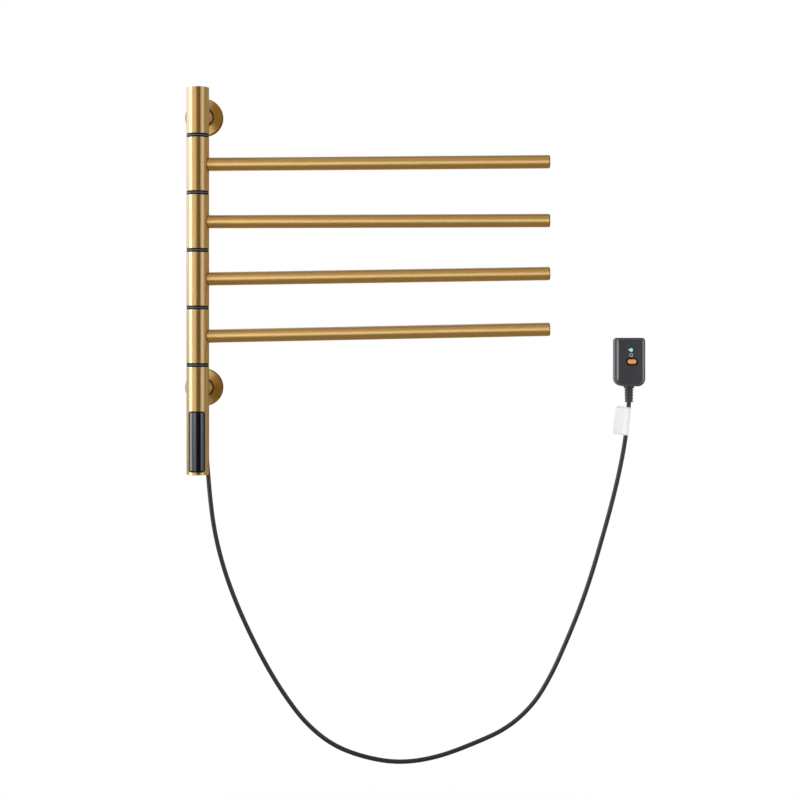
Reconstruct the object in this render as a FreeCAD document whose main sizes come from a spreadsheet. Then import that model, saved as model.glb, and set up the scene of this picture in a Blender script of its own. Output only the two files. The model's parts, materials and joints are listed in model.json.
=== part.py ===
import FreeCAD, Part
import math
import os
import re
import Sketcher

# Wall-mounted electric towel rack: one post, four swivelling heated arms, two wall stems,
# a touch panel in the lower end of the post and a mains lead with a leakage-protection plug.
# Millimetres. +Z is up, +Y runs into the wall, the front faces -Y.
# The origin is the centre of the upper wall base, on the wall.

ARM_COUNT = 4
COLLAR_COUNT = 5
GLAND_RIB_COUNT = 4
RELIEF_RIB_COUNT = 5
EDGE_SPOT_COUNT = 5
# Places this near each other count as one
SAME_PLACE = 1e-4

SIZES = {
    # Post: tube, its sections from the top down, and its place off the wall
    "post_diameter": 32.0,
    "tube_wall": 1.5,
    "standoff": 85.0,
    "top_rise": 32.7,
    "top_tube_length": 65.5,
    "sleeve_length": 75.5,
    "joint_height": 5.6,
    "housing_length": 152.4,
    "lower_stem_drop": 31.2,
    "edge_break": 0.7,
    "rim_round": 1.2,
    # Fits and cuts
    "press_gap": 0.05,
    "running_gap": 0.05,
    "axial_gap": 0.1,
    "free_gap": 0.3,
    "overrun": 2.0,
    # End caps of the post
    "cap_plate": 3.0,
    "cap_skirt": 8.0,
    "cap_wall": 2.0,
    "cap_recess": 0.4,
    # Spindle, the cores that hold it and their grub screws
    "spindle_diameter": 22.0,
    "spindle_wall": 2.0,
    "core_head": 12.0,
    "core_socket": 8.0,
    "core_clearance": 1.0,
    "wire_bore": 16.0,
    "window_height": 12.0,
    "window_reach": 4.0,
    "core_grub": 4.0,
    "grub_key": 1.1,
    "grub_key_depth": 1.5,
    # Bushes and washers of the swivel joints
    "bush_flange": 2.0,
    "bush_flange_diameter": 31.4,
    "bush_spigot": 10.0,
    "washer_diameter": 31.7,
    "washer_break": 0.25,
    # Arms
    "arm_diameter": 19.0,
    "arm_wall": 1.5,
    "arm_reach": 498.5,
    "arm_rise_1": 0.45,
    "arm_rise_2": 0.2,
    "arm_rise_3": 0.9,
    "arm_rise_4": 1.15,
    "arm_wire_hole": 12.0,
    "tip_plate": 3.0,
    "tip_round": 2.0,
    "tip_spigot": 10.0,
    # Heating rods
    "rod_diameter": 8.0,
    "rod_end_room": 30.0,
    "lead_diameter": 3.0,
    "lead_length": 14.0,
    "collar_width": 6.0,
    "collar_margin": 20.0,
    # Stems, their bolts and grub screws
    "stem_diameter": 25.0,
    "stem_wall": 3.0,
    "stem_end_wall": 5.0,
    "stem_foot_gap": 1.0,
    "bolt_diameter": 6.0,
    "bolt_hole": 6.6,
    "bolt_engagement": 5.8,
    "bolt_head": 10.0,
    "bolt_head_height": 6.0,
    "bolt_key": 2.9,
    "bolt_key_depth": 3.0,
    "stem_grub": 5.0,
    "stem_grub_inset": 13.0,
    "stem_grub_key": 1.4,
    # Wall bases and covers
    "base_diameter": 44.0,
    "base_plate": 5.0,
    "boss_length": 25.0,
    "boss_gap": 0.1,
    "wall_hole": 5.0,
    "wall_hole_spacing": 32.0,
    "countersink": 9.0,
    "cover_diameter": 55.0,
    "cover_depth": 9.0,
    "cover_wall": 1.5,
    "cover_face": 2.0,
    "cover_round": 1.6,
    "cover_ring_width": 1.8,
    "cover_ring_lip": 1.2,
    "cover_ring_lip_height": 1.0,
    # Touch panel in its window
    "panel_width": 23.0,
    "panel_height": 86.2,
    "panel_corner": 3.8,
    "panel_sill": 4.0,
    "panel_inset": 0.1,
    "panel_lip": 1.2,
    "panel_thickness": 3.0,
    "panel_round": 0.6,
    "gasket_width": 1.6,
    "gasket_inset": 0.35,
    # Control board behind the panel
    "board_width": 16.0,
    "board_margin": 4.0,
    "board_thickness": 1.6,
    "board_depth": 7.0,
    "carrier_width": 20.0,
    "carrier_thickness": 2.0,
    "rib_offset": 3.0,
    "rib_height": 38.0,
    "touch_spring": 5.0,
    "led_size": 2.5,
    "module_width": 8.0,
    "module_depth": 9.0,
    "module_height": 32.0,
    "loom_diameter": 5.0,
    "loom_back": 4.0,
    # Cord gland at the back of the housing
    "gland_turn": 26.0,
    "gland_rise": 67.2,
    "gland_offset": 21.0,
    "gland_stub": 9.0,
    "gland_shoulder": 13.0,
    "gland_shoulder_reach": 18.2,
    "gland_leg": 26.0,
    "gland_tip": 8.0,
    "gland_rib_depth": 0.6,
    "nut_diameter": 12.0,
    "nut_height": 3.2,
    # Mains lead and its tag
    "cord_diameter": 6.4,
    "tag_width": 20.0,
    "tag_height": 38.0,
    "tag_paper": 0.5,
    "tag_drop": 10.4,
    "tag_slack": 0.6,
    # Plug: shells, buttons, pins and what is inside
    "plug_across": 618.0,
    "plug_drop": 356.5,
    "plug_off_wall": 9.0,
    "plug_width": 41.8,
    "plug_height": 70.0,
    "plug_rear_depth": 27.0,
    "plug_front_depth": 16.0,
    "plug_wall": 2.2,
    "plug_top_corner": 5.0,
    "plug_bottom_corner": 11.0,
    "plug_edge": 4.5,
    "plug_back_edge": 1.5,
    "plug_seam": 0.5,
    "button_travel": 1.5,
    "button_proud": 1.2,
    "button_flange": 0.9,
    "button_flange_height": 1.0,
    "test_diameter": 5.3,
    "test_up": 17.5,
    "reset_width": 12.4,
    "reset_height": 6.3,
    "reset_up": 0.8,
    "reset_right": 1.2,
    "reset_recess": 2.4,
    "reset_recess_depth": 1.4,
    "indicator_diameter": 5.4,
    "indicator_up": 10.2,
    "indicator_length": 6.0,
    "lens_diameter": 2.8,
    "plug_board_width": 19.0,
    "plug_board_height": 50.0,
    "plug_board_back": 10.0,
    "switch_width": 6.0,
    "coil_diameter": 13.0,
    "coil_thickness": 5.0,
    "screw_across": 13.0,
    "screw_up": 26.0,
    "screw_down": 22.0,
    "screw_boss": 6.0,
    "screw_diameter": 2.6,
    "screw_head": 5.0,
    "screw_head_height": 1.8,
    "screw_grip": 10.0,
    "pin_width": 6.3,
    "pin_thickness": 1.6,
    "pin_root": 4.0,
    "pin_reach": 17.5,
    "earth_reach": 20.0,
    "earth_up": 10.3,
    "line_across": 7.9,
    "line_down": 4.6,
    "line_lean": 30.0,
    # Strain relief of the plug
    "relief_off_wall": 28.0,
    "relief_flange": 15.0,
    "relief_flange_height": 2.0,
    "relief_neck": 10.0,
    "relief_collar": 15.0,
    "relief_collar_height": 3.0,
    "relief_body": 12.9,
    "relief_tip": 12.0,
    "relief_length": 23.0,
    "relief_rib_depth": 0.9,
}

# The hanging lead between the gland and the plug's strain relief, chosen point by point
CORD_ROUTE = [
    (11.0, -65.6, -498.0),
    (13.0, -65.0, -524.0),
    (15.5, -64.3, -553.0),
    (20.0, -63.4, -590.0),
    (28.0, -62.3, -628.0),
    (39.5, -61.0, -667.0),
    (55.0, -59.6, -708.0),
    (74.0, -58.2, -750.0),
    (96.0, -56.7, -793.0),
    (121.0, -55.2, -834.0),
    (150.6, -53.6, -874.0),
    (189.5, -52.0, -906.5),
    (237.0, -50.3, -924.6),
    (287.0, -48.6, -932.6),
    (339.5, -46.8, -925.0),
    (392.5, -45.0, -905.5),
    (440.0, -43.3, -884.5),
    (478.5, -41.6, -850.5),
    (505.0, -39.9, -807.0),
    (526.3, -38.2, -760.0),
    (546.0, -36.5, -712.5),
    (563.0, -34.9, -664.0),
    (577.5, -33.3, -615.0),
    (591.0, -31.7, -568.0),
    (602.5, -30.2, -522.0),
    (611.0, -29.0, -480.0),
    (615.7, -28.2, -445.0),
]

doc = FreeCAD.newDocument("towel_rack")
sheet = doc.addObject("Spreadsheet::Sheet", "Sizes")
for row, (alias, length) in enumerate(SIZES.items(), 1):
    sheet.set(f"A{row}", alias)
    sheet.set(f"B{row}", str(length))
    sheet.setAlias(f"B{row}", alias)
doc.recompute()

UPRIGHT = FreeCAD.Rotation()
FLIPPED = FreeCAD.Rotation(FreeCAD.Vector(1, 0, 0), 180)
TO_WALL = FreeCAD.Rotation(FreeCAD.Vector(1, 0, 0), -90)
TO_FRONT = FreeCAD.Rotation(FreeCAD.Vector(1, 0, 0), 90)
TO_RIGHT = FreeCAD.Rotation(FreeCAD.Vector(0, 1, 0), 90)
TO_LEFT = FreeCAD.Rotation(FreeCAD.Vector(0, 1, 0), -90)
DOWNWARD = FreeCAD.Rotation(FreeCAD.Vector(0, 1, 0), 180)


def linked(text):
    """An expression with every size name pointing at its cell in the sheet."""
    return re.sub(r"[A-Za-z_]\w*", lambda hit: "Sizes." + hit[0] if hit[0] in SIZES else hit[0], text)


def number(text):
    """The present value of an expression of sizes."""
    return float(sheet.evalExpression(linked(text)))


def place(piece, base, turn=UPRIGHT):
    """Turn a piece and bind the three coordinates of its base."""
    piece.Placement = FreeCAD.Placement(FreeCAD.Vector(), turn)
    for letter, text in zip("xyz", base):
        if text != "0":
            piece.setExpression(f"Placement.Base.{letter}", linked(text))
    return piece


def lean(piece, angle):
    """Bind the angle of a turn about Y."""
    piece.Placement.Rotation = FreeCAD.Rotation(FreeCAD.Vector(0, 1, 0), number(angle))
    piece.setExpression("Placement.Rotation.Angle", linked(angle))
    return piece


def rod(name, radius, height, base, turn=UPRIGHT):
    piece = doc.addObject("Part::Cylinder", name)
    piece.setExpression("Radius", linked(radius))
    piece.setExpression("Height", linked(height))
    return place(piece, base, turn)


def block(name, size, base, turn=UPRIGHT):
    piece = doc.addObject("Part::Box", name)
    for side, text in zip(("Length", "Width", "Height"), size):
        piece.setExpression(side, linked(text))
    return place(piece, base, turn)


def cone(name, lower_radius, upper_radius, height, base, turn=UPRIGHT):
    piece = doc.addObject("Part::Cone", name)
    piece.setExpression("Radius1", linked(lower_radius))
    piece.setExpression("Radius2", linked(upper_radius))
    piece.setExpression("Height", linked(height))
    return place(piece, base, turn)


def hexagon(name, radius, height, base, turn=UPRIGHT):
    piece = doc.addObject("Part::Prism", name)
    piece.Polygon = 6
    piece.setExpression("Circumradius", linked(radius))
    piece.setExpression("Height", linked(height))
    return place(piece, base, turn)


def join(name, pieces):
    piece = doc.addObject("Part::MultiFuse", name)
    piece.Shapes = pieces
    return piece


def cut(name, blank, tools):
    piece = doc.addObject("Part::Cut", name)
    piece.Base = blank
    piece.Tool = tools[0] if len(tools) == 1 else join(name + "_tools", tools)
    return piece


def overlap(name, first, second):
    piece = doc.addObject("Part::Common", name)
    piece.Base = first
    piece.Tool = second
    return piece


def group(name, pieces):
    piece = doc.addObject("Part::Compound", name)
    piece.Links = pieces
    return piece


def draw(body, plane_role, outline):
    """A closed outline of straight lines whose corners are bound to the sheet."""
    sketch = body.newObject("Sketcher::SketchObject", body.Name + "_outline")
    plane = next(item for item in body.Origin.OriginFeatures if item.Role == plane_role)
    sketch.AttachmentSupport = (plane, [""])
    sketch.MapMode = "FlatFace"
    corners = [FreeCAD.Vector(number(across), number(along), 0) for across, along in outline]
    for index, corner in enumerate(corners):
        sketch.addGeometry(Part.LineSegment(corner, corners[(index + 1) % len(corners)]), False)
    for index in range(len(corners)):
        sketch.addConstraint(Sketcher.Constraint("Coincident", index, 2, (index + 1) % len(corners), 1))
    for index, (across, along) in enumerate(outline):
        for kind, axis, text in (("DistanceX", -2, across), ("DistanceY", -1, along)):
            if text == "0":
                sketch.addConstraint(Sketcher.Constraint("PointOnObject", index, 1, axis))
            else:
                held = sketch.addConstraint(Sketcher.Constraint(kind, -1, 1, index, 1, number(text)))
                sketch.setExpression(f"Constraints[{held}]", linked(text))
    return sketch


def turned(name, outline, base, turn=UPRIGHT):
    """A piece turned about its own Z axis from an outline of (radius, height) corners."""
    body = doc.addObject("PartDesign::Body", name)
    sketch = draw(body, "XZ_Plane", outline)
    spin = body.newObject("PartDesign::Revolution", name + "_turn")
    spin.Profile = sketch
    spin.ReferenceAxis = (sketch, ["V_Axis"])
    spin.Angle = 360
    return place(body, base, turn)


def plate(name, width, height, depth, base, turn=TO_FRONT):
    """A rectangular plate drawn upright and padded towards the front."""
    body = doc.addObject("PartDesign::Body", name)
    outline = [("0", "0"), (width, "0"), (width, height), ("0", height)]
    sketch = draw(body, "XY_Plane", outline)
    pad = body.newObject("PartDesign::Pad", name + "_pad")
    pad.Profile = sketch
    pad.setExpression("Length", linked(depth))
    return place(body, base, turn)


def rounded(body, radius, chosen):
    """Round the chosen edges of a body, given in the body's own frame."""
    doc.recompute()
    base = body.Tip
    edges = [f"Edge{index}" for index, edge in enumerate(base.Shape.Edges, 1) if chosen(edge)]
    fillet = body.newObject("PartDesign::Fillet", f"{body.Name}_round_{len(body.Group)}")
    fillet.Base = (base, edges)
    fillet.setExpression("Radius", linked(radius))
    return body


def eased(name, piece, radius, chosen):
    """Round the chosen edges of a finished solid."""
    doc.recompute()
    fillet = doc.addObject("Part::Fillet", name)
    fillet.Base = piece
    size = number(radius)
    fillet.Edges = [(index, size, size) for index, edge in enumerate(piece.Shape.Edges, 1) if chosen(edge)]
    return fillet


def along_depth(edge):
    """An edge that runs along a plate's depth."""
    box = edge.BoundBox
    return box.ZLength > box.XLength + box.YLength


def at_height(edge, height):
    """An edge that lies flat at a height of the body's own frame."""
    box = edge.BoundBox
    return all(math.isclose(end, height, abs_tol=SAME_PLACE) for end in (box.ZMin, box.ZMax))


def spans(edge, width):
    """An edge as wide as an expression says."""
    return math.isclose(edge.BoundBox.XLength, number(width), abs_tol=SAME_PLACE)


def rounded_plate(name, width, height, depth, corner, base):
    return rounded(plate(name, width, height, depth, base), corner, along_depth)


# Levels and radii that many pieces share
POST_RADIUS = "(post_diameter / 2)"
BORE_RADIUS = "(post_diameter / 2 - tube_wall)"
SEAT_RADIUS = "(post_diameter / 2 + press_gap)"
PLUG_RADIUS = "(post_diameter / 2 - tube_wall - press_gap)"
SPINDLE_RADIUS = "(spindle_diameter / 2)"
SOCKET_RADIUS = "(spindle_diameter / 2 + press_gap)"
RUNNING_RADIUS = "(spindle_diameter / 2 + running_gap)"
ARM_RADIUS = "(arm_diameter / 2)"
ARM_BORE = "(arm_diameter / 2 - arm_wall)"
STEM_RADIUS = "(stem_diameter / 2)"
STEM_BORE = "(stem_diameter / 2 - stem_wall)"
BUSH_HEIGHT = "(bush_flange + bush_spigot)"
WASHER_HEIGHT = "(joint_height - 2 * bush_flange - 2 * axial_gap)"
POST_Y = "0 - standoff"


def joint_top(index):
    """Upper face of a swivel joint, counted from the top."""
    return f"(top_rise - top_tube_length - {index} * (sleeve_length + joint_height))"


def arm_level(index):
    return f"({joint_top(index + 1)} + sleeve_length / 2)"


HOUSING_TOP = f"({joint_top(ARM_COUNT)} - joint_height)"
HOUSING_BOTTOM = f"({HOUSING_TOP} - housing_length)"
LOWER_STEM_LEVEL = f"({HOUSING_TOP} - lower_stem_drop)"
STEM_LEVELS = {"upper": "0", "lower": LOWER_STEM_LEVEL}
WINDOW_BOTTOM = f"({HOUSING_BOTTOM} + panel_sill)"


def post_place(level):
    return ("0", POST_Y, level)


def tube_outline(length):
    """A length of post tube with broken outer edges."""
    return [
        (BORE_RADIUS, "0"),
        (f"{POST_RADIUS} - edge_break", "0"),
        (POST_RADIUS, "edge_break"),
        (POST_RADIUS, f"{length} - edge_break"),
        (f"{POST_RADIUS} - edge_break", length),
        (BORE_RADIUS, length),
    ]


def bolt_clearance(name, level):
    """Clearance hole for a stem bolt, from the post axis out of the back."""
    reach = f"{POST_RADIUS} + stem_end_wall + overrun"
    return rod(name, "bolt_hole / 2", reach, post_place(level), TO_WALL)


def bolt_thread(name, level):
    """Threaded hole in a core for a stem bolt."""
    start = f"{POST_Y} + {PLUG_RADIUS} - bolt_engagement - overrun"
    depth = "bolt_engagement + 2 * overrun"
    return rod(name, "bolt_diameter / 2 + press_gap", depth, ("0", start, level), TO_WALL)


def grub_thread(name, level):
    """One hole across a core for its two grub screws."""
    start = (f"0 - {POST_RADIUS}", POST_Y, level)
    return rod(name, "core_grub / 2 + press_gap", "post_diameter", start, TO_RIGHT)


def grub_screw(name, diameter, length, key, base, turn):
    """A headless screw with a hexagon socket in its outer end."""
    shank = rod(name + "_shank", f"{diameter} / 2", length, ("0", "0", "0"))
    socket_base = ("0", "0", f"{length} - grub_key_depth")
    socket = hexagon(name + "_socket", key, "grub_key_depth + overrun", socket_base)
    return place(cut(name, shank, [socket]), base, turn)


# Fixed top section and its cap
top_tube_blank = turned("top_tube_blank", tube_outline("top_tube_length"),
                        post_place("top_rise - top_tube_length"))
cut("top_tube", top_tube_blank, [bolt_clearance("top_tube_bolt_hole", "0")])

CAP_HEIGHT = "(cap_skirt + cap_plate)"
CAP_OUTLINE = [
    (f"{PLUG_RADIUS} - cap_wall", "0"),
    (PLUG_RADIUS, "0"),
    (PLUG_RADIUS, CAP_HEIGHT),
    ("0", CAP_HEIGHT),
    ("0", "cap_skirt"),
    (f"{PLUG_RADIUS} - cap_wall", "cap_skirt"),
]
turned("top_cap", CAP_OUTLINE, post_place(f"top_rise - cap_recess - {CAP_HEIGHT}"))
BOTTOM_CAP_TOP = f"({HOUSING_BOTTOM} + cap_recess + {CAP_HEIGHT})"
bottom_cap_blank = turned("bottom_cap_blank", CAP_OUTLINE, post_place(BOTTOM_CAP_TOP), FLIPPED)
NOTCH_WIDTH = "(panel_width + 2 * panel_lip + 2 * free_gap)"
NOTCH_BOTTOM = f"({WINDOW_BOTTOM} - panel_lip - free_gap)"
panel_notch = block("panel_notch", (NOTCH_WIDTH, POST_RADIUS, CAP_HEIGHT),
                    (f"0 - {NOTCH_WIDTH} / 2", f"{POST_Y} - {POST_RADIUS}", NOTCH_BOTTOM))
cut("bottom_cap", bottom_cap_blank, [panel_notch])

# Cores that hold the spindle and take the stem bolts, the lower one reaching down to the panel
TOP_CORE_BOTTOM = f"({joint_top(0)} + bush_spigot)"
TOP_CORE_LENGTH = f"(core_head - {TOP_CORE_BOTTOM})"
TOP_GRUB_LEVEL = f"({TOP_CORE_BOTTOM} + core_socket / 2)"
top_core_outline = [
    (SOCKET_RADIUS, "0"),
    (PLUG_RADIUS, "0"),
    (PLUG_RADIUS, TOP_CORE_LENGTH),
    ("0", TOP_CORE_LENGTH),
    ("0", "core_socket"),
    (SOCKET_RADIUS, "core_socket"),
]
top_core_blank = turned("top_core_blank", top_core_outline, post_place(TOP_CORE_BOTTOM))
cut("top_core", top_core_blank, [
    bolt_thread("top_core_thread", "0"),
    grub_thread("top_core_grub_hole", TOP_GRUB_LEVEL),
])

LOWER_CORE_TOP = f"({HOUSING_TOP} - bush_spigot)"
LOWER_CORE_BOTTOM = f"({WINDOW_BOTTOM} + panel_height + panel_lip + core_clearance)"
LOWER_CORE_LENGTH = f"({LOWER_CORE_TOP} - {LOWER_CORE_BOTTOM})"
LOWER_GRUB_LEVEL = f"({LOWER_CORE_TOP} - core_socket / 2)"
lower_core_outline = [
    ("wire_bore / 2", "0"),
    (PLUG_RADIUS, "0"),
    (PLUG_RADIUS, LOWER_CORE_LENGTH),
    (SOCKET_RADIUS, LOWER_CORE_LENGTH),
    (SOCKET_RADIUS, f"{LOWER_CORE_LENGTH} - core_socket"),
    ("wire_bore / 2", f"{LOWER_CORE_LENGTH} - core_socket"),
]
lower_core_blank = turned("lower_core_blank", lower_core_outline, post_place(LOWER_CORE_BOTTOM))
cut("lower_core", lower_core_blank, [
    bolt_thread("lower_core_thread", LOWER_STEM_LEVEL),
    grub_thread("lower_core_grub_hole", LOWER_GRUB_LEVEL),
])

GRUB_LENGTH = f"(sqrt({PLUG_RADIUS} ^ 2 - (core_grub / 2) ^ 2) - {SOCKET_RADIUS})"
core_grubs = []
for level_name, level in (("top", TOP_GRUB_LEVEL), ("lower", LOWER_GRUB_LEVEL)):
    for side_name, sign, turn in (("right", "+", TO_RIGHT), ("left", "-", TO_LEFT)):
        grub_base = (f"0 {sign} {SOCKET_RADIUS}", POST_Y, level)
        core_grubs.append(grub_screw(f"core_grub_{level_name}_{side_name}", "core_grub", GRUB_LENGTH,
                                     "grub_key", grub_base, turn))
group("core_grub_screws", core_grubs)

# Spindle tube with a wire window at each arm
SPINDLE_BOTTOM = f"({LOWER_CORE_TOP} - core_socket)"
SPINDLE_LENGTH = f"({TOP_CORE_BOTTOM} + core_socket - {SPINDLE_BOTTOM})"
spindle_outline = [
    (f"{SPINDLE_RADIUS} - spindle_wall", "0"),
    (SPINDLE_RADIUS, "0"),
    (SPINDLE_RADIUS, SPINDLE_LENGTH),
    (f"{SPINDLE_RADIUS} - spindle_wall", SPINDLE_LENGTH),
]
spindle_blank = turned("spindle_blank", spindle_outline, post_place(SPINDLE_BOTTOM))
spindle_windows = []
for arm in range(ARM_COUNT):
    window_depth = f"{SPINDLE_RADIUS} + overrun + window_reach"
    window_size = ("spindle_diameter + 2 * overrun", window_depth, "window_height")
    window_base = (f"0 - {SPINDLE_RADIUS} - overrun", f"{POST_Y} - {SPINDLE_RADIUS} - overrun",
                   f"{arm_level(arm)} - window_height / 2")
    spindle_windows.append(block(f"spindle_window_{arm + 1}", window_size, window_base))
cut("spindle", spindle_blank, spindle_windows)


def bush(name, level, turn):
    """A flanged plastic bush, its flange's outer face at the given level."""
    outline = [
        (RUNNING_RADIUS, "0"),
        ("bush_flange_diameter / 2 - washer_break", "0"),
        ("bush_flange_diameter / 2", "washer_break"),
        ("bush_flange_diameter / 2", "bush_flange"),
        (PLUG_RADIUS, "bush_flange"),
        (PLUG_RADIUS, BUSH_HEIGHT),
        (RUNNING_RADIUS, BUSH_HEIGHT),
    ]
    return turned(name, outline, post_place(level), turn)


def bush_over(name, joint):
    """The bush of the section above a joint."""
    return bush(name, f"{joint_top(joint)} - bush_flange", UPRIGHT)


def bush_under(name, joint):
    """The bush of the section below a joint."""
    return bush(name, f"{joint_top(joint)} - joint_height + bush_flange", FLIPPED)


group("fixed_bushes", [bush_over("top_bush", 0), bush_under("lower_bush", ARM_COUNT)])

washers = []
for joint in range(ARM_COUNT + 1):
    washer_outline = [
        (RUNNING_RADIUS, "0"),
        ("washer_diameter / 2 - washer_break", "0"),
        ("washer_diameter / 2", "washer_break"),
        ("washer_diameter / 2", f"{WASHER_HEIGHT} - washer_break"),
        ("washer_diameter / 2 - washer_break", WASHER_HEIGHT),
        (RUNNING_RADIUS, WASHER_HEIGHT),
    ]
    washer_level = f"{joint_top(joint)} - bush_flange - axial_gap - {WASHER_HEIGHT}"
    washers.append(turned(f"thrust_washer_{joint + 1}", washer_outline, post_place(washer_level)))
group("thrust_washers", washers)


def arm_place(arm, distance):
    """A point on an arm's axis, at a distance from the post axis."""
    rise = f"arm_rise_{arm + 1} * 1deg"
    return (f"({distance}) * cos({rise})", POST_Y, f"{arm_level(arm)} + ({distance}) * sin({rise})")


def make_arm(arm):
    """One swivel arm: sleeve, two bushes, coped bar, end cap and heating rod."""
    label = f"arm_{arm + 1}"
    tilt = f"90 - arm_rise_{arm + 1}"
    root = arm_place(arm, "0")

    sleeve_base = post_place(joint_top(arm + 1))
    sleeve_blank = turned(f"{label}_sleeve_blank", tube_outline("sleeve_length"), sleeve_base)
    wire_hole = lean(rod(f"{label}_wire_hole", "arm_wire_hole / 2", f"{POST_RADIUS} + overrun", root), tilt)
    cut(f"{label}_sleeve", sleeve_blank, [wire_hole])
    group(f"{label}_bushes", [
        bush_under(f"{label}_upper_bush", arm),
        bush_over(f"{label}_lower_bush", arm + 1),
    ])

    bar_length = "arm_reach - tip_plate"
    outside = lean(rod(f"{label}_bar_outside", ARM_RADIUS, bar_length, root), tilt)
    inside = lean(rod(f"{label}_bar_inside", ARM_BORE, f"{bar_length} + overrun", root), tilt)
    saddle = rod(f"{label}_bar_saddle", SEAT_RADIUS, "sleeve_length", sleeve_base)
    cut(f"{label}_bar", outside, [inside, saddle])

    cap_outline = [
        ("0", "0"),
        (f"{ARM_BORE} - press_gap", "0"),
        (f"{ARM_BORE} - press_gap", "tip_spigot"),
        (ARM_RADIUS, "tip_spigot"),
        (ARM_RADIUS, "tip_spigot + tip_plate"),
        ("0", "tip_spigot + tip_plate"),
    ]
    cap = turned(f"{label}_end_cap", cap_outline, arm_place(arm, "arm_reach - tip_plate - tip_spigot"))
    rounded(lean(cap, tilt), "tip_round", lambda edge: at_height(edge, number("tip_spigot + tip_plate")))

    lead_start = f"({SPINDLE_RADIUS} + 2 * free_gap)"
    heater_length = f"(arm_reach - rod_end_room - {lead_start})"
    collar_span = f"({heater_length} - lead_length - 2 * collar_margin - collar_width)"
    collar_pitch = f"({collar_span} / {COLLAR_COUNT - 1})"
    heater_outline = [("0", "0"), ("lead_diameter / 2", "0"), ("lead_diameter / 2", "lead_length")]
    heater_outline.append(("rod_diameter / 2", "lead_length"))
    for collar in range(COLLAR_COUNT):
        collar_start = f"lead_length + collar_margin + {collar} * {collar_pitch}"
        heater_outline.append(("rod_diameter / 2", collar_start))
        heater_outline.append((f"{ARM_BORE} - free_gap", collar_start))
        heater_outline.append((f"{ARM_BORE} - free_gap", f"{collar_start} + collar_width"))
        heater_outline.append(("rod_diameter / 2", f"{collar_start} + collar_width"))
    heater_outline.append(("rod_diameter / 2", heater_length))
    heater_outline.append(("0", heater_length))
    lean(turned(f"{label}_heater", heater_outline, arm_place(arm, lead_start)), tilt)


for arm in range(ARM_COUNT):
    make_arm(arm)


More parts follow.
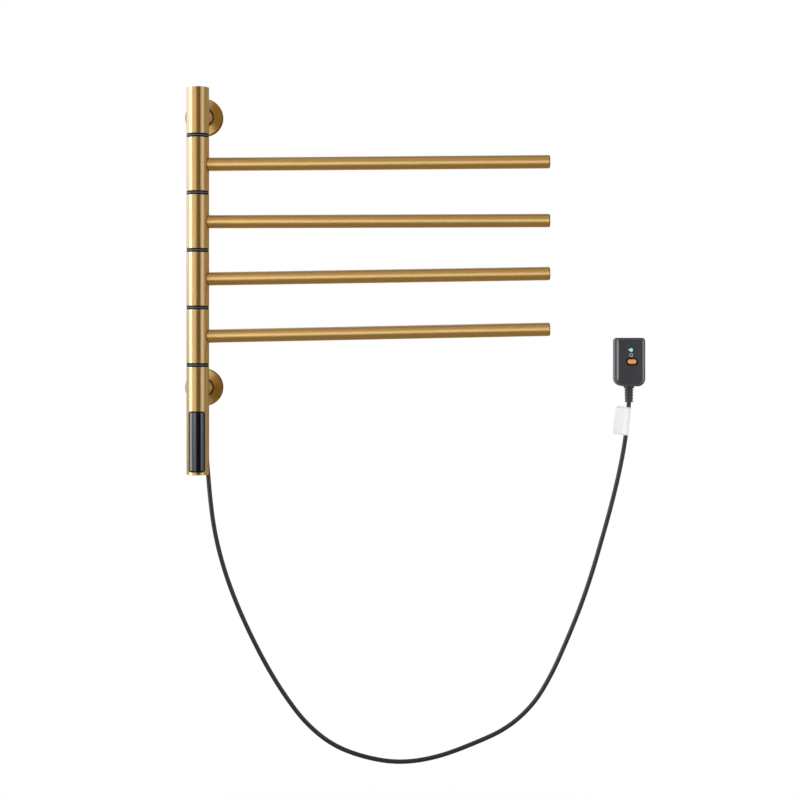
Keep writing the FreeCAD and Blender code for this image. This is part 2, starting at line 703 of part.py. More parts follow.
def make_stem(side):
    """A stem coped to the post, its bolt, wall base, lock screw, cover and cover ring."""
    level = STEM_LEVELS[side]
    foot = "(base_plate + stem_foot_gap)"
    outside = rod(f"{side}_stem_outside", STEM_RADIUS, f"standoff - {foot}", post_place(level), TO_WALL)
    saddle_base = post_place(f"{level} - stem_diameter")
    saddle = rod(f"{side}_stem_saddle", SEAT_RADIUS, "2 * stem_diameter", saddle_base)
    end_wall = f"({POST_RADIUS} + stem_end_wall)"
    bore_base = ("0", f"{POST_Y} + {end_wall}", level)
    bore = rod(f"{side}_stem_bore", STEM_BORE, f"standoff - {end_wall}", bore_base, TO_WALL)
    grub_base = ("0", f"0 - {foot} - stem_grub_inset", level)
    grub_hole = rod(f"{side}_stem_grub_hole", "stem_grub / 2 + press_gap", f"{STEM_RADIUS} + overrun",
                    grub_base, DOWNWARD)
    cut(f"{side}_stem", outside, [saddle, bore, bolt_clearance(f"{side}_stem_bolt_hole", level), grub_hole])

    shank = f"({end_wall} - {PLUG_RADIUS} + bolt_engagement)"
    bolt_outline = [
        ("0", "0"),
        ("bolt_diameter / 2", "0"),
        ("bolt_diameter / 2", shank),
        ("bolt_head / 2", shank),
        ("bolt_head / 2", f"{shank} + bolt_head_height"),
        ("0", f"{shank} + bolt_head_height"),
    ]
    bolt_base = ("0", f"{POST_Y} + {PLUG_RADIUS} - bolt_engagement", level)
    bolt_blank = turned(f"{side}_stem_bolt_blank", bolt_outline, bolt_base, TO_WALL)
    key_base = ("0", f"{POST_Y} + {end_wall} + bolt_head_height - bolt_key_depth", level)
    key = hexagon(f"{side}_stem_bolt_key", "bolt_key", "bolt_key_depth + overrun", key_base, TO_WALL)
    bolt = cut(f"{side}_stem_bolt", bolt_blank, [key])

    boss_radius = f"({STEM_BORE} - boss_gap)"
    boss_end = "(base_plate + boss_length)"
    base_outline = [
        ("0", "0"),
        ("base_diameter / 2", "0"),
        ("base_diameter / 2", "base_plate - edge_break"),
        ("base_diameter / 2 - edge_break", "base_plate"),
        (boss_radius, "base_plate"),
        (boss_radius, f"{boss_end} - edge_break"),
        (f"{boss_radius} - edge_break", boss_end),
        ("0", boss_end),
    ]
    base_blank = turned(f"{side}_wall_base_blank", base_outline, ("0", "0", level), TO_FRONT)
    wall_holes = []
    for name, sign in (("left", "-"), ("right", "+")):
        across = f"0 {sign} wall_hole_spacing / 2"
        wall_holes.append(rod(f"{side}_wall_hole_{name}", "wall_hole / 2", "base_plate + 2 * overrun",
                              (across, "overrun", level), TO_FRONT))
        sink_depth = "(countersink / 2 - wall_hole / 2)"
        wall_holes.append(cone(f"{side}_countersink_{name}", "wall_hole / 2", "countersink / 2", sink_depth,
                               (across, f"0 - base_plate + {sink_depth}", level), TO_FRONT))
    cut(f"{side}_wall_base", base_blank, wall_holes)

    lock_base = ("0", f"0 - {foot} - stem_grub_inset", f"{level} - {STEM_BORE}")
    lock = grub_screw(f"{side}_stem_lock", "stem_grub", "stem_wall - free_gap", "stem_grub_key",
                      lock_base, DOWNWARD)

    hole_radius = f"({STEM_RADIUS} + running_gap + cover_ring_width)"
    cover_inside = "(cover_diameter / 2 - cover_wall)"
    cover_outline = [
        (cover_inside, "0"),
        ("cover_diameter / 2", "0"),
        ("cover_diameter / 2", "cover_depth"),
        (hole_radius, "cover_depth"),
        (hole_radius, "cover_depth - cover_face"),
        (cover_inside, "cover_depth - cover_face"),
    ]
    cover = turned(f"{side}_cover", cover_outline, ("0", "0", level), TO_FRONT)
    rounded(cover, "cover_round",
            lambda edge: at_height(edge, number("cover_depth")) and spans(edge, "cover_diameter"))
    ring_radius = f"({STEM_RADIUS} + running_gap)"
    ring_outline = [
        (ring_radius, "0"),
        (f"{hole_radius} + cover_ring_lip", "0"),
        (f"{hole_radius} + cover_ring_lip", "cover_ring_lip_height"),
        (f"{hole_radius} - press_gap", "cover_ring_lip_height"),
        (f"{hole_radius} - press_gap", "cover_ring_lip_height + cover_face"),
        (ring_radius, "cover_ring_lip_height + cover_face"),
    ]
    ring_base = ("0", "0 - cover_depth + cover_face + cover_ring_lip_height", level)
    turned(f"{side}_cover_ring", ring_outline, ring_base, TO_FRONT)
    return bolt, lock


stem_fasteners = [make_stem(side) for side in STEM_LEVELS]
group("stem_bolts", [bolt for bolt, lock in stem_fasteners])
group("stem_lock_screws", [lock for bolt, lock in stem_fasteners])

# Control housing: lower tube with its panel window, bolt hole and gland hole
WINDOW_BACK = f"({BORE_RADIUS} / 2)"


def window_plate(name, width, height, corner, back):
    """A rounded plate centred on the panel window, from a depth inside the post out past its front."""
    base = (f"0 - ({width}) / 2", f"{POST_Y} - {back}",
            f"{WINDOW_BOTTOM} + panel_height / 2 - ({height}) / 2")
    return rounded_plate(name, width, height, f"{POST_RADIUS} - {back} + overrun", corner, base)


def curved_skin(name, inner, outer, width, height, corner, back):
    """The part of a ring about the post axis that lies inside a window-shaped plate."""
    outline = [(inner, "0"), (outer, "0"), (outer, "housing_length"), (inner, "housing_length")]
    ring = turned(name + "_ring", outline, post_place(HOUSING_BOTTOM))
    return overlap(name, ring, window_plate(name + "_plate", width, height, corner, back))


def on_panel_front(edge):
    """An edge of the panel's outer face."""
    front = number(f"{POST_RADIUS} - panel_inset")
    axis_y = number(POST_Y)
    reaches = [math.hypot(spot.x, spot.y - axis_y) for spot in edge.discretize(Number=EDGE_SPOT_COUNT)]
    return all(math.isclose(reach, front, abs_tol=SAME_PLACE) for reach in reaches)


GLAND_LEVEL = f"({HOUSING_BOTTOM} + gland_rise)"
GLAND_OUT = FreeCAD.Rotation(FreeCAD.Vector(0, 0, 1), -number("gland_turn")).multiply(TO_WALL)


def gland_place(radius, level=GLAND_LEVEL):
    """A point on the gland's axis, at a radius from the post axis."""
    return (f"({radius}) * sin(gland_turn * 1deg)", f"{POST_Y} + ({radius}) * cos(gland_turn * 1deg)", level)


housing_outline = [
    (BORE_RADIUS, "0"),
    (POST_RADIUS, "0"),
    (POST_RADIUS, "housing_length - edge_break"),
    (f"{POST_RADIUS} - edge_break", "housing_length"),
    (BORE_RADIUS, "housing_length"),
]
housing_blank = turned("housing_blank", housing_outline, post_place(HOUSING_BOTTOM))
rounded(housing_blank, "rim_round", lambda edge: at_height(edge, 0) and spans(edge, "post_diameter"))
gland_hole = rod("gland_hole", "gland_stub / 2 + press_gap", f"{POST_RADIUS} + overrun",
                 gland_place("0"), GLAND_OUT)
cut("lower_housing", housing_blank, [
    bolt_clearance("housing_bolt_hole", LOWER_STEM_LEVEL),
    window_plate("panel_window", "panel_width", "panel_height", "panel_corner", WINDOW_BACK),
    gland_hole,
])

PANEL_INSIDE = f"({POST_RADIUS} - panel_inset - panel_thickness)"
panel_face = curved_skin("panel_face", PANEL_INSIDE, f"{POST_RADIUS} - panel_inset",
                         "panel_width - 2 * gasket_width", "panel_height - 2 * gasket_width",
                         "panel_corner - gasket_width", WINDOW_BACK)
panel_eased = eased("panel_eased", panel_face, "panel_round", on_panel_front)
panel_flange = curved_skin("panel_flange", PANEL_INSIDE, f"{BORE_RADIUS} - press_gap",
                           "panel_width + 2 * panel_lip", "panel_height + 2 * panel_lip",
                           "panel_corner + panel_lip", f"({WINDOW_BACK} / 2)")
join("touch_panel", [panel_eased, panel_flange])

gasket_blank = curved_skin("gasket_blank", BORE_RADIUS, f"{POST_RADIUS} - gasket_inset",
                           "panel_width - 2 * press_gap", "panel_height - 2 * press_gap",
                           "panel_corner - press_gap", WINDOW_BACK)
gasket_middle = window_plate("gasket_middle", "panel_width - 2 * gasket_width + 2 * press_gap",
                             "panel_height - 2 * gasket_width + 2 * press_gap",
                             "panel_corner - gasket_width + press_gap", WINDOW_BACK)
cut("panel_gasket", gasket_blank, [gasket_middle])

# Board carrier, control board and what is on them
BOARD_BOTTOM = f"({WINDOW_BOTTOM} + board_margin)"
BOARD_HEIGHT = "(panel_height - 2 * board_margin)"
BOARD_FRONT = f"({POST_Y} - board_depth - board_thickness)"
CARRIER_BACK = f"({POST_Y} - board_depth + carrier_thickness)"
carrier_face = block("carrier_face", ("carrier_width", "carrier_thickness", BOARD_HEIGHT),
                     ("0 - carrier_width / 2", f"{POST_Y} - board_depth", BOARD_BOTTOM))
rib_depth = f"{PLUG_RADIUS} + board_depth - carrier_thickness + overrun"
carrier_rib = block("carrier_rib", ("carrier_thickness", rib_depth, "rib_height"),
                    ("0 - rib_offset", CARRIER_BACK, BOTTOM_CAP_TOP))
carrier_round = rod("carrier_round", PLUG_RADIUS, "housing_length", post_place(HOUSING_BOTTOM))
overlap("board_carrier", join("carrier_blank", [carrier_face, carrier_rib]), carrier_round)

block("control_board", ("board_width", "board_thickness", BOARD_HEIGHT),
      ("0 - board_width / 2", BOARD_FRONT, BOARD_BOTTOM))

TOUCH_SHARES = (0.2, 0.5, 0.8)
LED_SHARES = (0.35, 0.65)
TOUCH_REACH = f"sqrt({PANEL_INSIDE} ^ 2 - (touch_spring / 2) ^ 2)"
TOUCH_LENGTH = f"({TOUCH_REACH} - board_depth - board_thickness - axial_gap)"
board_parts = []
for index, share in enumerate(TOUCH_SHARES, 1):
    board_parts.append(rod(f"touch_spring_{index}", "touch_spring / 2", TOUCH_LENGTH,
                           ("0", BOARD_FRONT, f"{BOARD_BOTTOM} + {share} * {BOARD_HEIGHT}"), TO_FRONT))
for index, share in enumerate(LED_SHARES, 1):
    board_parts.append(block(f"led_{index}", ("led_size", "led_size", "led_size"),
                             ("0 - led_size / 2", f"{BOARD_FRONT} - led_size",
                              f"{BOARD_BOTTOM} + {share} * {BOARD_HEIGHT}")))
board_parts.append(block("power_module", ("module_width", "module_depth", "module_height"),
                         ("0", CARRIER_BACK, BOARD_BOTTOM)))
group("board_components", board_parts)

LOOM_BOTTOM = f"({BOARD_BOTTOM} + module_height)"
rod("wire_loom", "loom_diameter / 2", f"{arm_level(0)} + window_height / 2 - {LOOM_BOTTOM}",
    ("module_width / 2", f"{POST_Y} + loom_back - module_depth / 2", LOOM_BOTTOM))

# Cord gland: a moulded elbow clamped in the back of the housing
gland_tail = f"({BORE_RADIUS} - nut_height - 2 * overrun)"
stub = rod("gland_stub_rod", "gland_stub / 2", f"gland_offset - {gland_tail}",
           gland_place(gland_tail), GLAND_OUT)
shoulder_blank = rod("gland_shoulder_blank", "gland_shoulder / 2", f"gland_shoulder_reach - {BORE_RADIUS}",
                     gland_place(BORE_RADIUS), GLAND_OUT)
shoulder_saddle = rod("gland_shoulder_saddle", SEAT_RADIUS, "housing_length", post_place(HOUSING_BOTTOM))
shoulder = cut("gland_shoulder_seat", shoulder_blank, [shoulder_saddle])
corner = doc.addObject("Part::Sphere", "gland_corner")
corner.setExpression("Radius", linked("gland_stub / 2"))
place(corner, gland_place("gland_offset"))

LEG_STEP = f"(gland_leg / {2 * GLAND_RIB_COUNT + 1})"


def leg_radius(step):
    """Radius of the tapered leg after a number of steps down from the elbow."""
    return f"(gland_stub / 2 - (gland_stub - gland_tip) / 2 * {step} / {2 * GLAND_RIB_COUNT + 1})"


leg_outline = [("0", "0"), (leg_radius(0), "0")]
for rib in range(GLAND_RIB_COUNT):
    groove_top, groove_bottom = 2 * rib + 1, 2 * rib + 2
    leg_outline.append((leg_radius(groove_top), f"{groove_top} * {LEG_STEP}"))
    leg_outline.append((f"{leg_radius(groove_top)} - gland_rib_depth", f"{groove_top} * {LEG_STEP}"))
    leg_outline.append((f"{leg_radius(groove_bottom)} - gland_rib_depth", f"{groove_bottom} * {LEG_STEP}"))
    leg_outline.append((leg_radius(groove_bottom), f"{groove_bottom} * {LEG_STEP}"))
leg_outline.append(("gland_tip / 2", "gland_leg"))
leg_outline.append(("0", "gland_leg"))
leg = turned("gland_leg_rod", leg_outline, gland_place("gland_offset"), DOWNWARD)
join("cord_gland", [stub, shoulder, corner, leg])

NUT_SEAT = f"(sqrt({BORE_RADIUS} ^ 2 - (nut_diameter / 2) ^ 2) - press_gap)"
nut_blank = hexagon("gland_nut_blank", "nut_diameter / 2", "nut_height",
                    gland_place(f"{NUT_SEAT} - nut_height"), GLAND_OUT)
nut_bore = rod("gland_nut_bore", "gland_stub / 2 + press_gap", "nut_height + 2 * overrun",
               gland_place(f"{NUT_SEAT} - nut_height - overrun"), GLAND_OUT)
cut("gland_nut", nut_blank, [nut_bore])

# Plug: two shells that part on a plane parallel to the wall
PARTING = "(0 - plug_off_wall - plug_rear_depth)"
RELIEF_Y = "(0 - relief_off_wall)"
PLUG_FRONT = f"({PARTING} - plug_front_depth)"
PLUG_LEFT = "(plug_across - plug_width / 2)"
PLUG_BOTTOM = "(0 - plug_drop - plug_height / 2)"


def plug_form(name, inset, back, depth):
    """A plate with the plug's outline, drawn in by an inset, with its own top and bottom corners."""
    body = plate(name, f"plug_width - 2 * {inset}", f"plug_height - 2 * {inset}", depth,
                 (f"{PLUG_LEFT} + {inset}", back, f"{PLUG_BOTTOM} + {inset}"))
    middle = number("plug_height / 2")
    low = number("plug_bottom_corner / 2")
    rounded(body, f"plug_top_corner - {inset}",
            lambda edge: along_depth(edge) and edge.BoundBox.YMin > middle)
    return rounded(body, f"plug_bottom_corner - {inset}",
                   lambda edge: along_depth(edge) and edge.BoundBox.YMax < low)


def plug_place(across, depth, up):
    """A place on the plug: across and up from its middle, at a depth of the part's frame."""
    return (f"plug_across + {across}", depth, f"0 - plug_drop + {up}")


SCREW_PLACES = [
    ("0 - screw_across", "screw_up"),
    ("screw_across", "screw_up"),
    ("0 - screw_across", "0 - screw_down"),
    ("screw_across", "0 - screw_down"),
]
BOARD_PLANE = f"({PLUG_FRONT} + plug_board_back)"
INNER_FRONT = f"({PLUG_FRONT} + plug_wall)"
BACK_FACE = "(0 - plug_off_wall)"
INNER_BACK = "(0 - plug_off_wall - plug_wall)"
SCREW_SEAT = "(0 - plug_off_wall - screw_head_height - axial_gap)"


def stadium(name, grow, depth, base_y):
    """The reset button's outline, grown all round."""
    width, height = f"reset_width + 2 * ({grow})", f"reset_height + 2 * ({grow})"
    base = (f"plug_across + reset_right - ({width}) / 2", base_y,
            f"0 - plug_drop + reset_up - ({height}) / 2")
    round_share = 0.49
    return rounded_plate(name, width, height, depth, f"{round_share} * ({height})", base)


rear_bosses, rear_cuts, front_bosses, front_cuts, plug_screws = [], [], [], [], []
for index, (across, up) in enumerate(SCREW_PLACES, 1):
    rear_depth = "plug_rear_depth - plug_wall"
    rear_bosses.append(rod(f"rear_boss_{index}", "screw_boss / 2", rear_depth,
                           plug_place(across, INNER_BACK, up), TO_FRONT))
    behind = plug_place(across, f"{BACK_FACE} + overrun", up)
    rear_cuts.append(rod(f"rear_screw_hole_{index}", "screw_diameter / 2 + press_gap",
                         "plug_rear_depth + 2 * overrun", behind, TO_FRONT))
    rear_cuts.append(rod(f"rear_screw_sink_{index}", "screw_head / 2 + axial_gap",
                         f"{BACK_FACE} + overrun - {SCREW_SEAT}", behind, TO_FRONT))
    front_bosses.append(rod(f"front_boss_{index}", "screw_boss / 2", "plug_front_depth - plug_wall",
                            plug_place(across, PARTING, up), TO_FRONT))
    front_cuts.append(rod(f"front_screw_hole_{index}", "screw_diameter / 2 + press_gap", "screw_grip",
                          plug_place(across, PARTING, up), TO_FRONT))
    shank = "(plug_rear_depth - screw_head_height - axial_gap + screw_grip - overrun)"
    screw_outline = [
        ("0", "0"),
        ("screw_head / 2", "0"),
        ("screw_head / 2", "screw_head_height"),
        ("screw_diameter / 2", "screw_head_height"),
        ("screw_diameter / 2", f"screw_head_height + {shank}"),
        ("0", f"screw_head_height + {shank}"),
    ]
    plug_screws.append(turned(f"plug_screw_{index}", screw_outline,
                              plug_place(across, f"{SCREW_SEAT} + screw_head_height", up), TO_FRONT))
group("plug_screws", plug_screws)

# Pins: earth on top, two leaning pins below
PIN_START = f"({INNER_BACK} - pin_root)"


def pin_blank(name, reach, grow, across, up, angle):
    """A flat pin about its own axis, grown all round for its slot."""
    thickness, width = f"(pin_thickness + 2 * {grow})", f"(pin_width + 2 * {grow})"
    length = f"pin_root + plug_wall + {reach} + {grow}"
    bar = block(name + "_bar", (thickness, width, length), (f"0 - {thickness} / 2", f"0 - {width} / 2", "0"))
    turn = FreeCAD.Rotation(FreeCAD.Vector(0, 1, 0), angle).multiply(TO_WALL)
    return place(group(name, [bar]), plug_place(across, PIN_START, up), turn)


PINS = {
    "earth": ("earth_reach", "0", "earth_up", 0),
    "live": ("pin_reach", "line_across", "0 - line_down", number("line_lean")),
    "neutral": ("pin_reach", "0 - line_across", "0 - line_down", -number("line_lean")),
}
group("plug_pins", [pin_blank(f"{name}_pin", reach, "0", across, up, angle)
                    for name, (reach, across, up, angle) in PINS.items()])
pin_slots = [pin_blank(f"{name}_slot", reach, "press_gap", across, up, angle)
             for name, (reach, across, up, angle) in PINS.items()]

rear_outside = plug_form("plug_rear_outside", "0", BACK_FACE, "plug_rear_depth")
rounded(rear_outside, "plug_back_edge", lambda edge: at_height(edge, 0))
rounded(rear_outside, "plug_seam", lambda edge: at_height(edge, number("plug_rear_depth")))
rear_inside = plug_form("plug_rear_inside", "plug_wall", INNER_BACK, "plug_rear_depth - plug_wall + overrun")
rear_hollow = cut("plug_rear_hollow", rear_outside, [rear_inside])
relief_hole = rod("relief_hole", "relief_neck / 2 + press_gap", "plug_wall + 2 * overrun",
                  ("plug_across", RELIEF_Y, f"{PLUG_BOTTOM} - overrun"))
cut("plug_rear_shell", join("plug_rear_solid", [rear_hollow] + rear_bosses),
    rear_cuts + pin_slots + [relief_hole])

front_outside = plug_form("plug_front_outside", "0", PARTING, "plug_front_depth")
rounded(front_outside, "plug_edge", lambda edge: at_height(edge, number("plug_front_depth")))
rounded(front_outside, "plug_seam", lambda edge: at_height(edge, 0))
front_inside = plug_form("plug_front_inside", "plug_wall", f"{PARTING} + overrun",
                         "plug_front_depth - plug_wall + overrun")
front_hollow = cut("plug_front_hollow", front_outside, [front_inside])
front_cuts.append(rod("test_hole", "test_diameter / 2 + free_gap", "plug_wall + 2 * overrun",
                      plug_place("0", f"{INNER_FRONT} + overrun", "test_up"), TO_FRONT))
front_cuts.append(rod("indicator_hole", "indicator_diameter / 2 + press_gap", "plug_wall + 2 * overrun",
                      plug_place("0", f"{INNER_FRONT} + overrun", "indicator_up"), TO_FRONT))
front_cuts.append(stadium("reset_hole", "free_gap", "plug_wall + 2 * overrun", f"{INNER_FRONT} + overrun"))
front_cuts.append(stadium("reset_sink", "reset_recess", "reset_recess_depth + overrun",
                          f"{PLUG_FRONT} + reset_recess_depth"))
cut("plug_front_shell", join("plug_front_solid", [front_hollow] + front_bosses), front_cuts)

# Buttons, each with a flange behind the front wall
FLANGE_FRONT = f"({INNER_FRONT} + axial_gap)"
BUTTON_LENGTH = "(plug_wall + axial_gap + button_proud)"
test_outline = [
    ("0", "0"),
    ("test_diameter / 2 + button_flange", "0"),
    ("test_diameter / 2 + button_flange", "button_flange_height"),
    ("test_diameter / 2", "button_flange_height"),
    ("test_diameter / 2", f"button_flange_height + {BUTTON_LENGTH}"),
    ("0", f"button_flange_height + {BUTTON_LENGTH}"),
]
test_button = turned("test_button", test_outline,
                     plug_place("0", f"{FLANGE_FRONT} + button_flange_height", "test_up"), TO_FRONT)
rounded(test_button, "button_proud / 2",
        lambda edge: at_height(edge, number(f"button_flange_height + {BUTTON_LENGTH}")))

reset_face = stadium("reset_face", "0", f"button_flange_height + {BUTTON_LENGTH}",
                     f"{FLANGE_FRONT} + button_flange_height")
rounded(reset_face, "button_proud / 2",
        lambda edge: at_height(edge, number(f"button_flange_height + {BUTTON_LENGTH}")))
reset_flange = stadium("reset_flange", "button_flange", "button_flange_height",
                       f"{FLANGE_FRONT} + button_flange_height")
join("reset_button", [reset_face, reset_flange])

# Indicator light guide, board, switches and sensing coil
indicator_outline = [
    ("lens_diameter / 2 + press_gap", "0"),
    ("indicator_diameter / 2", "0"),
    ("indicator_diameter / 2", "indicator_length"),
    ("lens_diameter / 2 + press_gap", "indicator_length"),
]
INDICATOR_BASE = plug_place("0", f"{PLUG_FRONT} - free_gap + indicator_length", "indicator_up")
turned("plug_indicator", indicator_outline, INDICATOR_BASE, TO_FRONT)
rod("plug_lens", "lens_diameter / 2", "indicator_length", INDICATOR_BASE, TO_FRONT)

SWITCH_ROOM = f"({BOARD_PLANE} - {FLANGE_FRONT} - button_flange_height - button_travel - axial_gap)"
plug_board_plate = block("plug_board_plate", ("plug_board_width", "board_thickness", "plug_board_height"),
                         plug_place("0 - plug_board_width / 2", BOARD_PLANE, "0 - plug_board_height / 2"))
plug_switches = []
for name, right, up in (("test", "0", "test_up"), ("reset", "reset_right", "reset_up")):
    plug_switches.append(block(f"{name}_switch", ("switch_width", SWITCH_ROOM, "switch_width"),
                               plug_place(f"{right} - switch_width / 2", f"{BOARD_PLANE} - {SWITCH_ROOM}",
                                          f"{up} - switch_width / 2")))
fitted_board = join("fitted_plug_board", [plug_board_plate] + plug_switches)
coil = doc.addObject("Part::Torus", "sensing_coil")
coil.setExpression("Radius1", linked("coil_diameter / 2 - coil_thickness / 2"))
coil.setExpression("Radius2", linked("coil_thickness / 2"))
coil_depth = f"{BOARD_PLANE} + board_thickness + coil_thickness / 2"
place(coil, plug_place("0", coil_depth, "0 - line_down"), TO_WALL)
group("plug_board", [fitted_board, coil])

# Strain relief of the plug: flange inside, neck in the wall, collar and ribbed taper below
RELIEF_TOP = f"({PLUG_BOTTOM} + plug_wall + relief_flange_height + axial_gap)"
NECK_END = "(relief_flange_height + 2 * axial_gap + plug_wall)"
RIBBED_LENGTH = "(relief_length - relief_collar_height)"
RIB_STEP = f"({RIBBED_LENGTH} / {2 * RELIEF_RIB_COUNT})"


def relief_radius(step):
    return f"(relief_body / 2 - (relief_body - relief_tip) / 2 * {step} / {2 * RELIEF_RIB_COUNT})"


relief_outline = [
    ("0", "0"),
    ("relief_flange / 2", "0"),
    ("relief_flange / 2", "relief_flange_height"),
    ("relief_neck / 2", "relief_flange_height"),
    ("relief_neck / 2", NECK_END),
    ("relief_collar / 2", NECK_END),
    ("relief_collar / 2", f"{NECK_END} + relief_collar_height"),
]
for rib in range(RELIEF_RIB_COUNT):
    groove_start, groove_end, rib_end = 2 * rib, 2 * rib + 1, 2 * rib + 2
    for step, depth in ((groove_start, " - relief_rib_depth"), (groove_end, " - relief_rib_depth"),
                        (groove_end, ""), (rib_end, "")):
        relief_outline.append((relief_radius(step) + depth,
                               f"{NECK_END} + relief_collar_height + {step} * {RIB_STEP}"))
relief_outline.append(("0", f"{NECK_END} + relief_length"))
turned("plug_strain_relief", relief_outline, ("plug_across", RELIEF_Y, RELIEF_TOP), DOWNWARD)


def cord_path(points):
    """Straight runs joined by tangent arcs, each as large as its two runs allow."""
    run_share = 0.45
    edges, radii = [], []
    start = points[0]
    for before, here, after in zip(points, points[1:], points[2:]):
        back, onward = before - here, after - here
        trim = run_share * min(back.Length, onward.Length)
        back.normalize()
        onward.normalize()
        half_turn = (math.pi - back.getAngle(onward)) / 2
        radii.append(trim / math.tan(half_turn))
        arc_start, arc_end = here + back * trim, here + onward * trim
        bisector = (back + onward).normalize()
        middle = here + bisector * (radii[-1] / math.cos(half_turn) - radii[-1])
        edges.append(Part.LineSegment(start, arc_start).toShape())
        edges.append(Part.Arc(arc_start, middle, arc_end).toShape())
        start = arc_end
    edges.append(Part.LineSegment(start, points[-1]).toShape())
    return Part.Wire(edges), radii


# Mains lead, from the gland's tip to the end of the strain relief
gland_end = [number(text) for text in gland_place("gland_offset", f"{GLAND_LEVEL} - gland_leg")]
relief_tip = ("plug_across", RELIEF_Y, f"{RELIEF_TOP} - {NECK_END} - relief_length")
relief_end = [number(text) for text in relief_tip]
cord_points = [FreeCAD.Vector(*point) for point in [gland_end] + CORD_ROUTE + [relief_end]]
cord_wire, cord_radii = cord_path(cord_points)
cord_radius = number("cord_diameter / 2")
first_run = cord_points[1] - cord_points[0]
section = Part.Wire(Part.Circle(cord_points[0], first_run, cord_radius).toShape())
cord = doc.addObject("Part::Feature", "power_cord")
cord.Shape = cord_wire.makePipeShell([section], True, False)
print("cord length", round(cord_wire.Length, 1), "least radius", round(min(cord_radii), 1))
print("cord radii", [round(radius) for radius in cord_radii])
print("cord volume share", round(cord.Shape.Volume / (math.pi * cord_radius ** 2 * cord_wire.Length), 4))

# Paper tag: a loop round the lead below the strain relief and a flag to its left
paper, tag_height, tag_width = number("tag_paper"), number("tag_height"), number("tag_width")
spacing_share = 0.1
spacing = spacing_share * number("cord_diameter")
last_stretch = cord_wire.discretize(Distance=spacing)[::-1]
tag_base = last_stretch[round(number("tag_drop") / spacing)]
tag_foot = last_stretch[round(number("tag_drop + tag_height") / spacing)]
tag_turn = FreeCAD.Rotation(FreeCAD.Vector(0, 0, -1), tag_foot - tag_base)
loop_inside = cord_radius + number("tag_slack")
downwards = FreeCAD.Vector(0, 0, -1)
loop_outer = Part.makeCylinder(loop_inside + paper, tag_height, FreeCAD.Vector(), downwards)
loop_inner = Part.makeCylinder(loop_inside, tag_height, FreeCAD.Vector(), downwards)
flag_corner = FreeCAD.Vector(-loop_inside - tag_width, -paper, -tag_height)
flag = Part.makeBox(tag_width + paper, 2 * paper, tag_height, flag_corner)
tag = doc.addObject("Part::Feature", "cord_tag")
tag.Shape = loop_outer.fuse(flag).cut(loop_inner).removeSplitter()
tag.Placement = FreeCAD.Placement(tag_base, tag_turn)

NODES = [
    "top_tube", "top_cap", "top_core", "lower_housing", "bottom_cap", "lower_core", "core_grub_screws",
    "spindle", "fixed_bushes", "thrust_washers", "upper_stem", "lower_stem", "stem_bolts",
    "stem_lock_screws", "upper_wall_base", "lower_wall_base", "upper_cover", "upper_cover_ring",
    "lower_cover", "lower_cover_ring", "touch_panel", "panel_gasket", "board_carrier", "control_board",
    "board_components", "wire_loom", "cord_gland", "gland_nut", "power_cord", "cord_tag",
    "plug_rear_shell", "plug_front_shell", "plug_screws", "plug_pins", "plug_board",
    "plug_indicator", "plug_lens", "plug_strain_relief", "test_button", "reset_button",
]
for arm in range(ARM_COUNT):
    NODES += [f"arm_{arm + 1}_{piece}" for piece in ("sleeve", "bushes", "bar", "end_cap", "heater")]

doc.recompute()
for item in doc.Objects:
    if "Invalid" in item.State or "Error" in item.State:
        raise RuntimeError(f"{item.Label} failed: {item.State}")
for node in NODES:
    shape = doc.getObject(node).Shape
    if shape.isNull() or not shape.isValid() or not shape.Solids:
        raise RuntimeError(f"{node} has no valid solid")

os.makedirs("parts", exist_ok=True)
for node in NODES:
    item = doc.getObject(node)
    item.Label = node
    item.Shape.exportStep(f"parts/{item.Label}.step")
print(len(NODES), "nodes")
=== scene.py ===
import json
import math

import bmesh
import bpy
from mathutils import Matrix, Vector


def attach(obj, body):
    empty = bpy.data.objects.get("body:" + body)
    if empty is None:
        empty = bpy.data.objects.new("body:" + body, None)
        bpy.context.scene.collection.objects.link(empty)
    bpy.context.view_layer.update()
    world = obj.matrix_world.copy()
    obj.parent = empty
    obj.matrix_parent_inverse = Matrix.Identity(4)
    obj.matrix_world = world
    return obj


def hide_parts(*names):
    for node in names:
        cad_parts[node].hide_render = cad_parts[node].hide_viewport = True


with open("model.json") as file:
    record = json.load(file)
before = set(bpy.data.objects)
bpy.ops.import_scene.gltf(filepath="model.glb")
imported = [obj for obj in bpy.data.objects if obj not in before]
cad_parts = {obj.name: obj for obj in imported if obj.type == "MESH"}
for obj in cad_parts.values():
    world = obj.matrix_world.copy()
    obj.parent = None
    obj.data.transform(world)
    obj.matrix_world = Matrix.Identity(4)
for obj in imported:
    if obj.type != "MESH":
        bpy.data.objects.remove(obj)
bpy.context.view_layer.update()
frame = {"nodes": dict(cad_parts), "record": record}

NODES = frame["nodes"]
SLOT_OF = {part["node"]: part["material_slot"] for part in frame["record"]["subparts"]}
SCENE = bpy.context.scene
MM = 0.001
# A place on the post's axis, from which the lights are set out
POST = Vector((0, -0.085, -0.3))

# Camera: level with the lowest arm, square to the wall, the frame lowered by lens shift
camera = bpy.data.objects.new("camera", bpy.data.cameras.new("camera"))
camera.location = (0.2863, -2.485, -0.319)
camera.rotation_euler = (math.radians(90), 0, 0)
camera.data.lens = 76.3
camera.data.sensor_width = 36
camera.data.shift_y = -0.08
camera.data.clip_start = 0.05
camera.data.clip_end = 40
SCENE.collection.objects.link(camera)
SCENE.camera = camera


def to_linear(hex_colour):
    """sRGB hex text as linear red, green, blue and alpha."""
    parts = [int(hex_colour[i:i + 2], 16) / 255 for i in (1, 3, 5)]
    return (*[part / 12.92 if part <= 0.04045 else ((part + 0.055) / 1.055) ** 2.4
              for part in parts], 1)


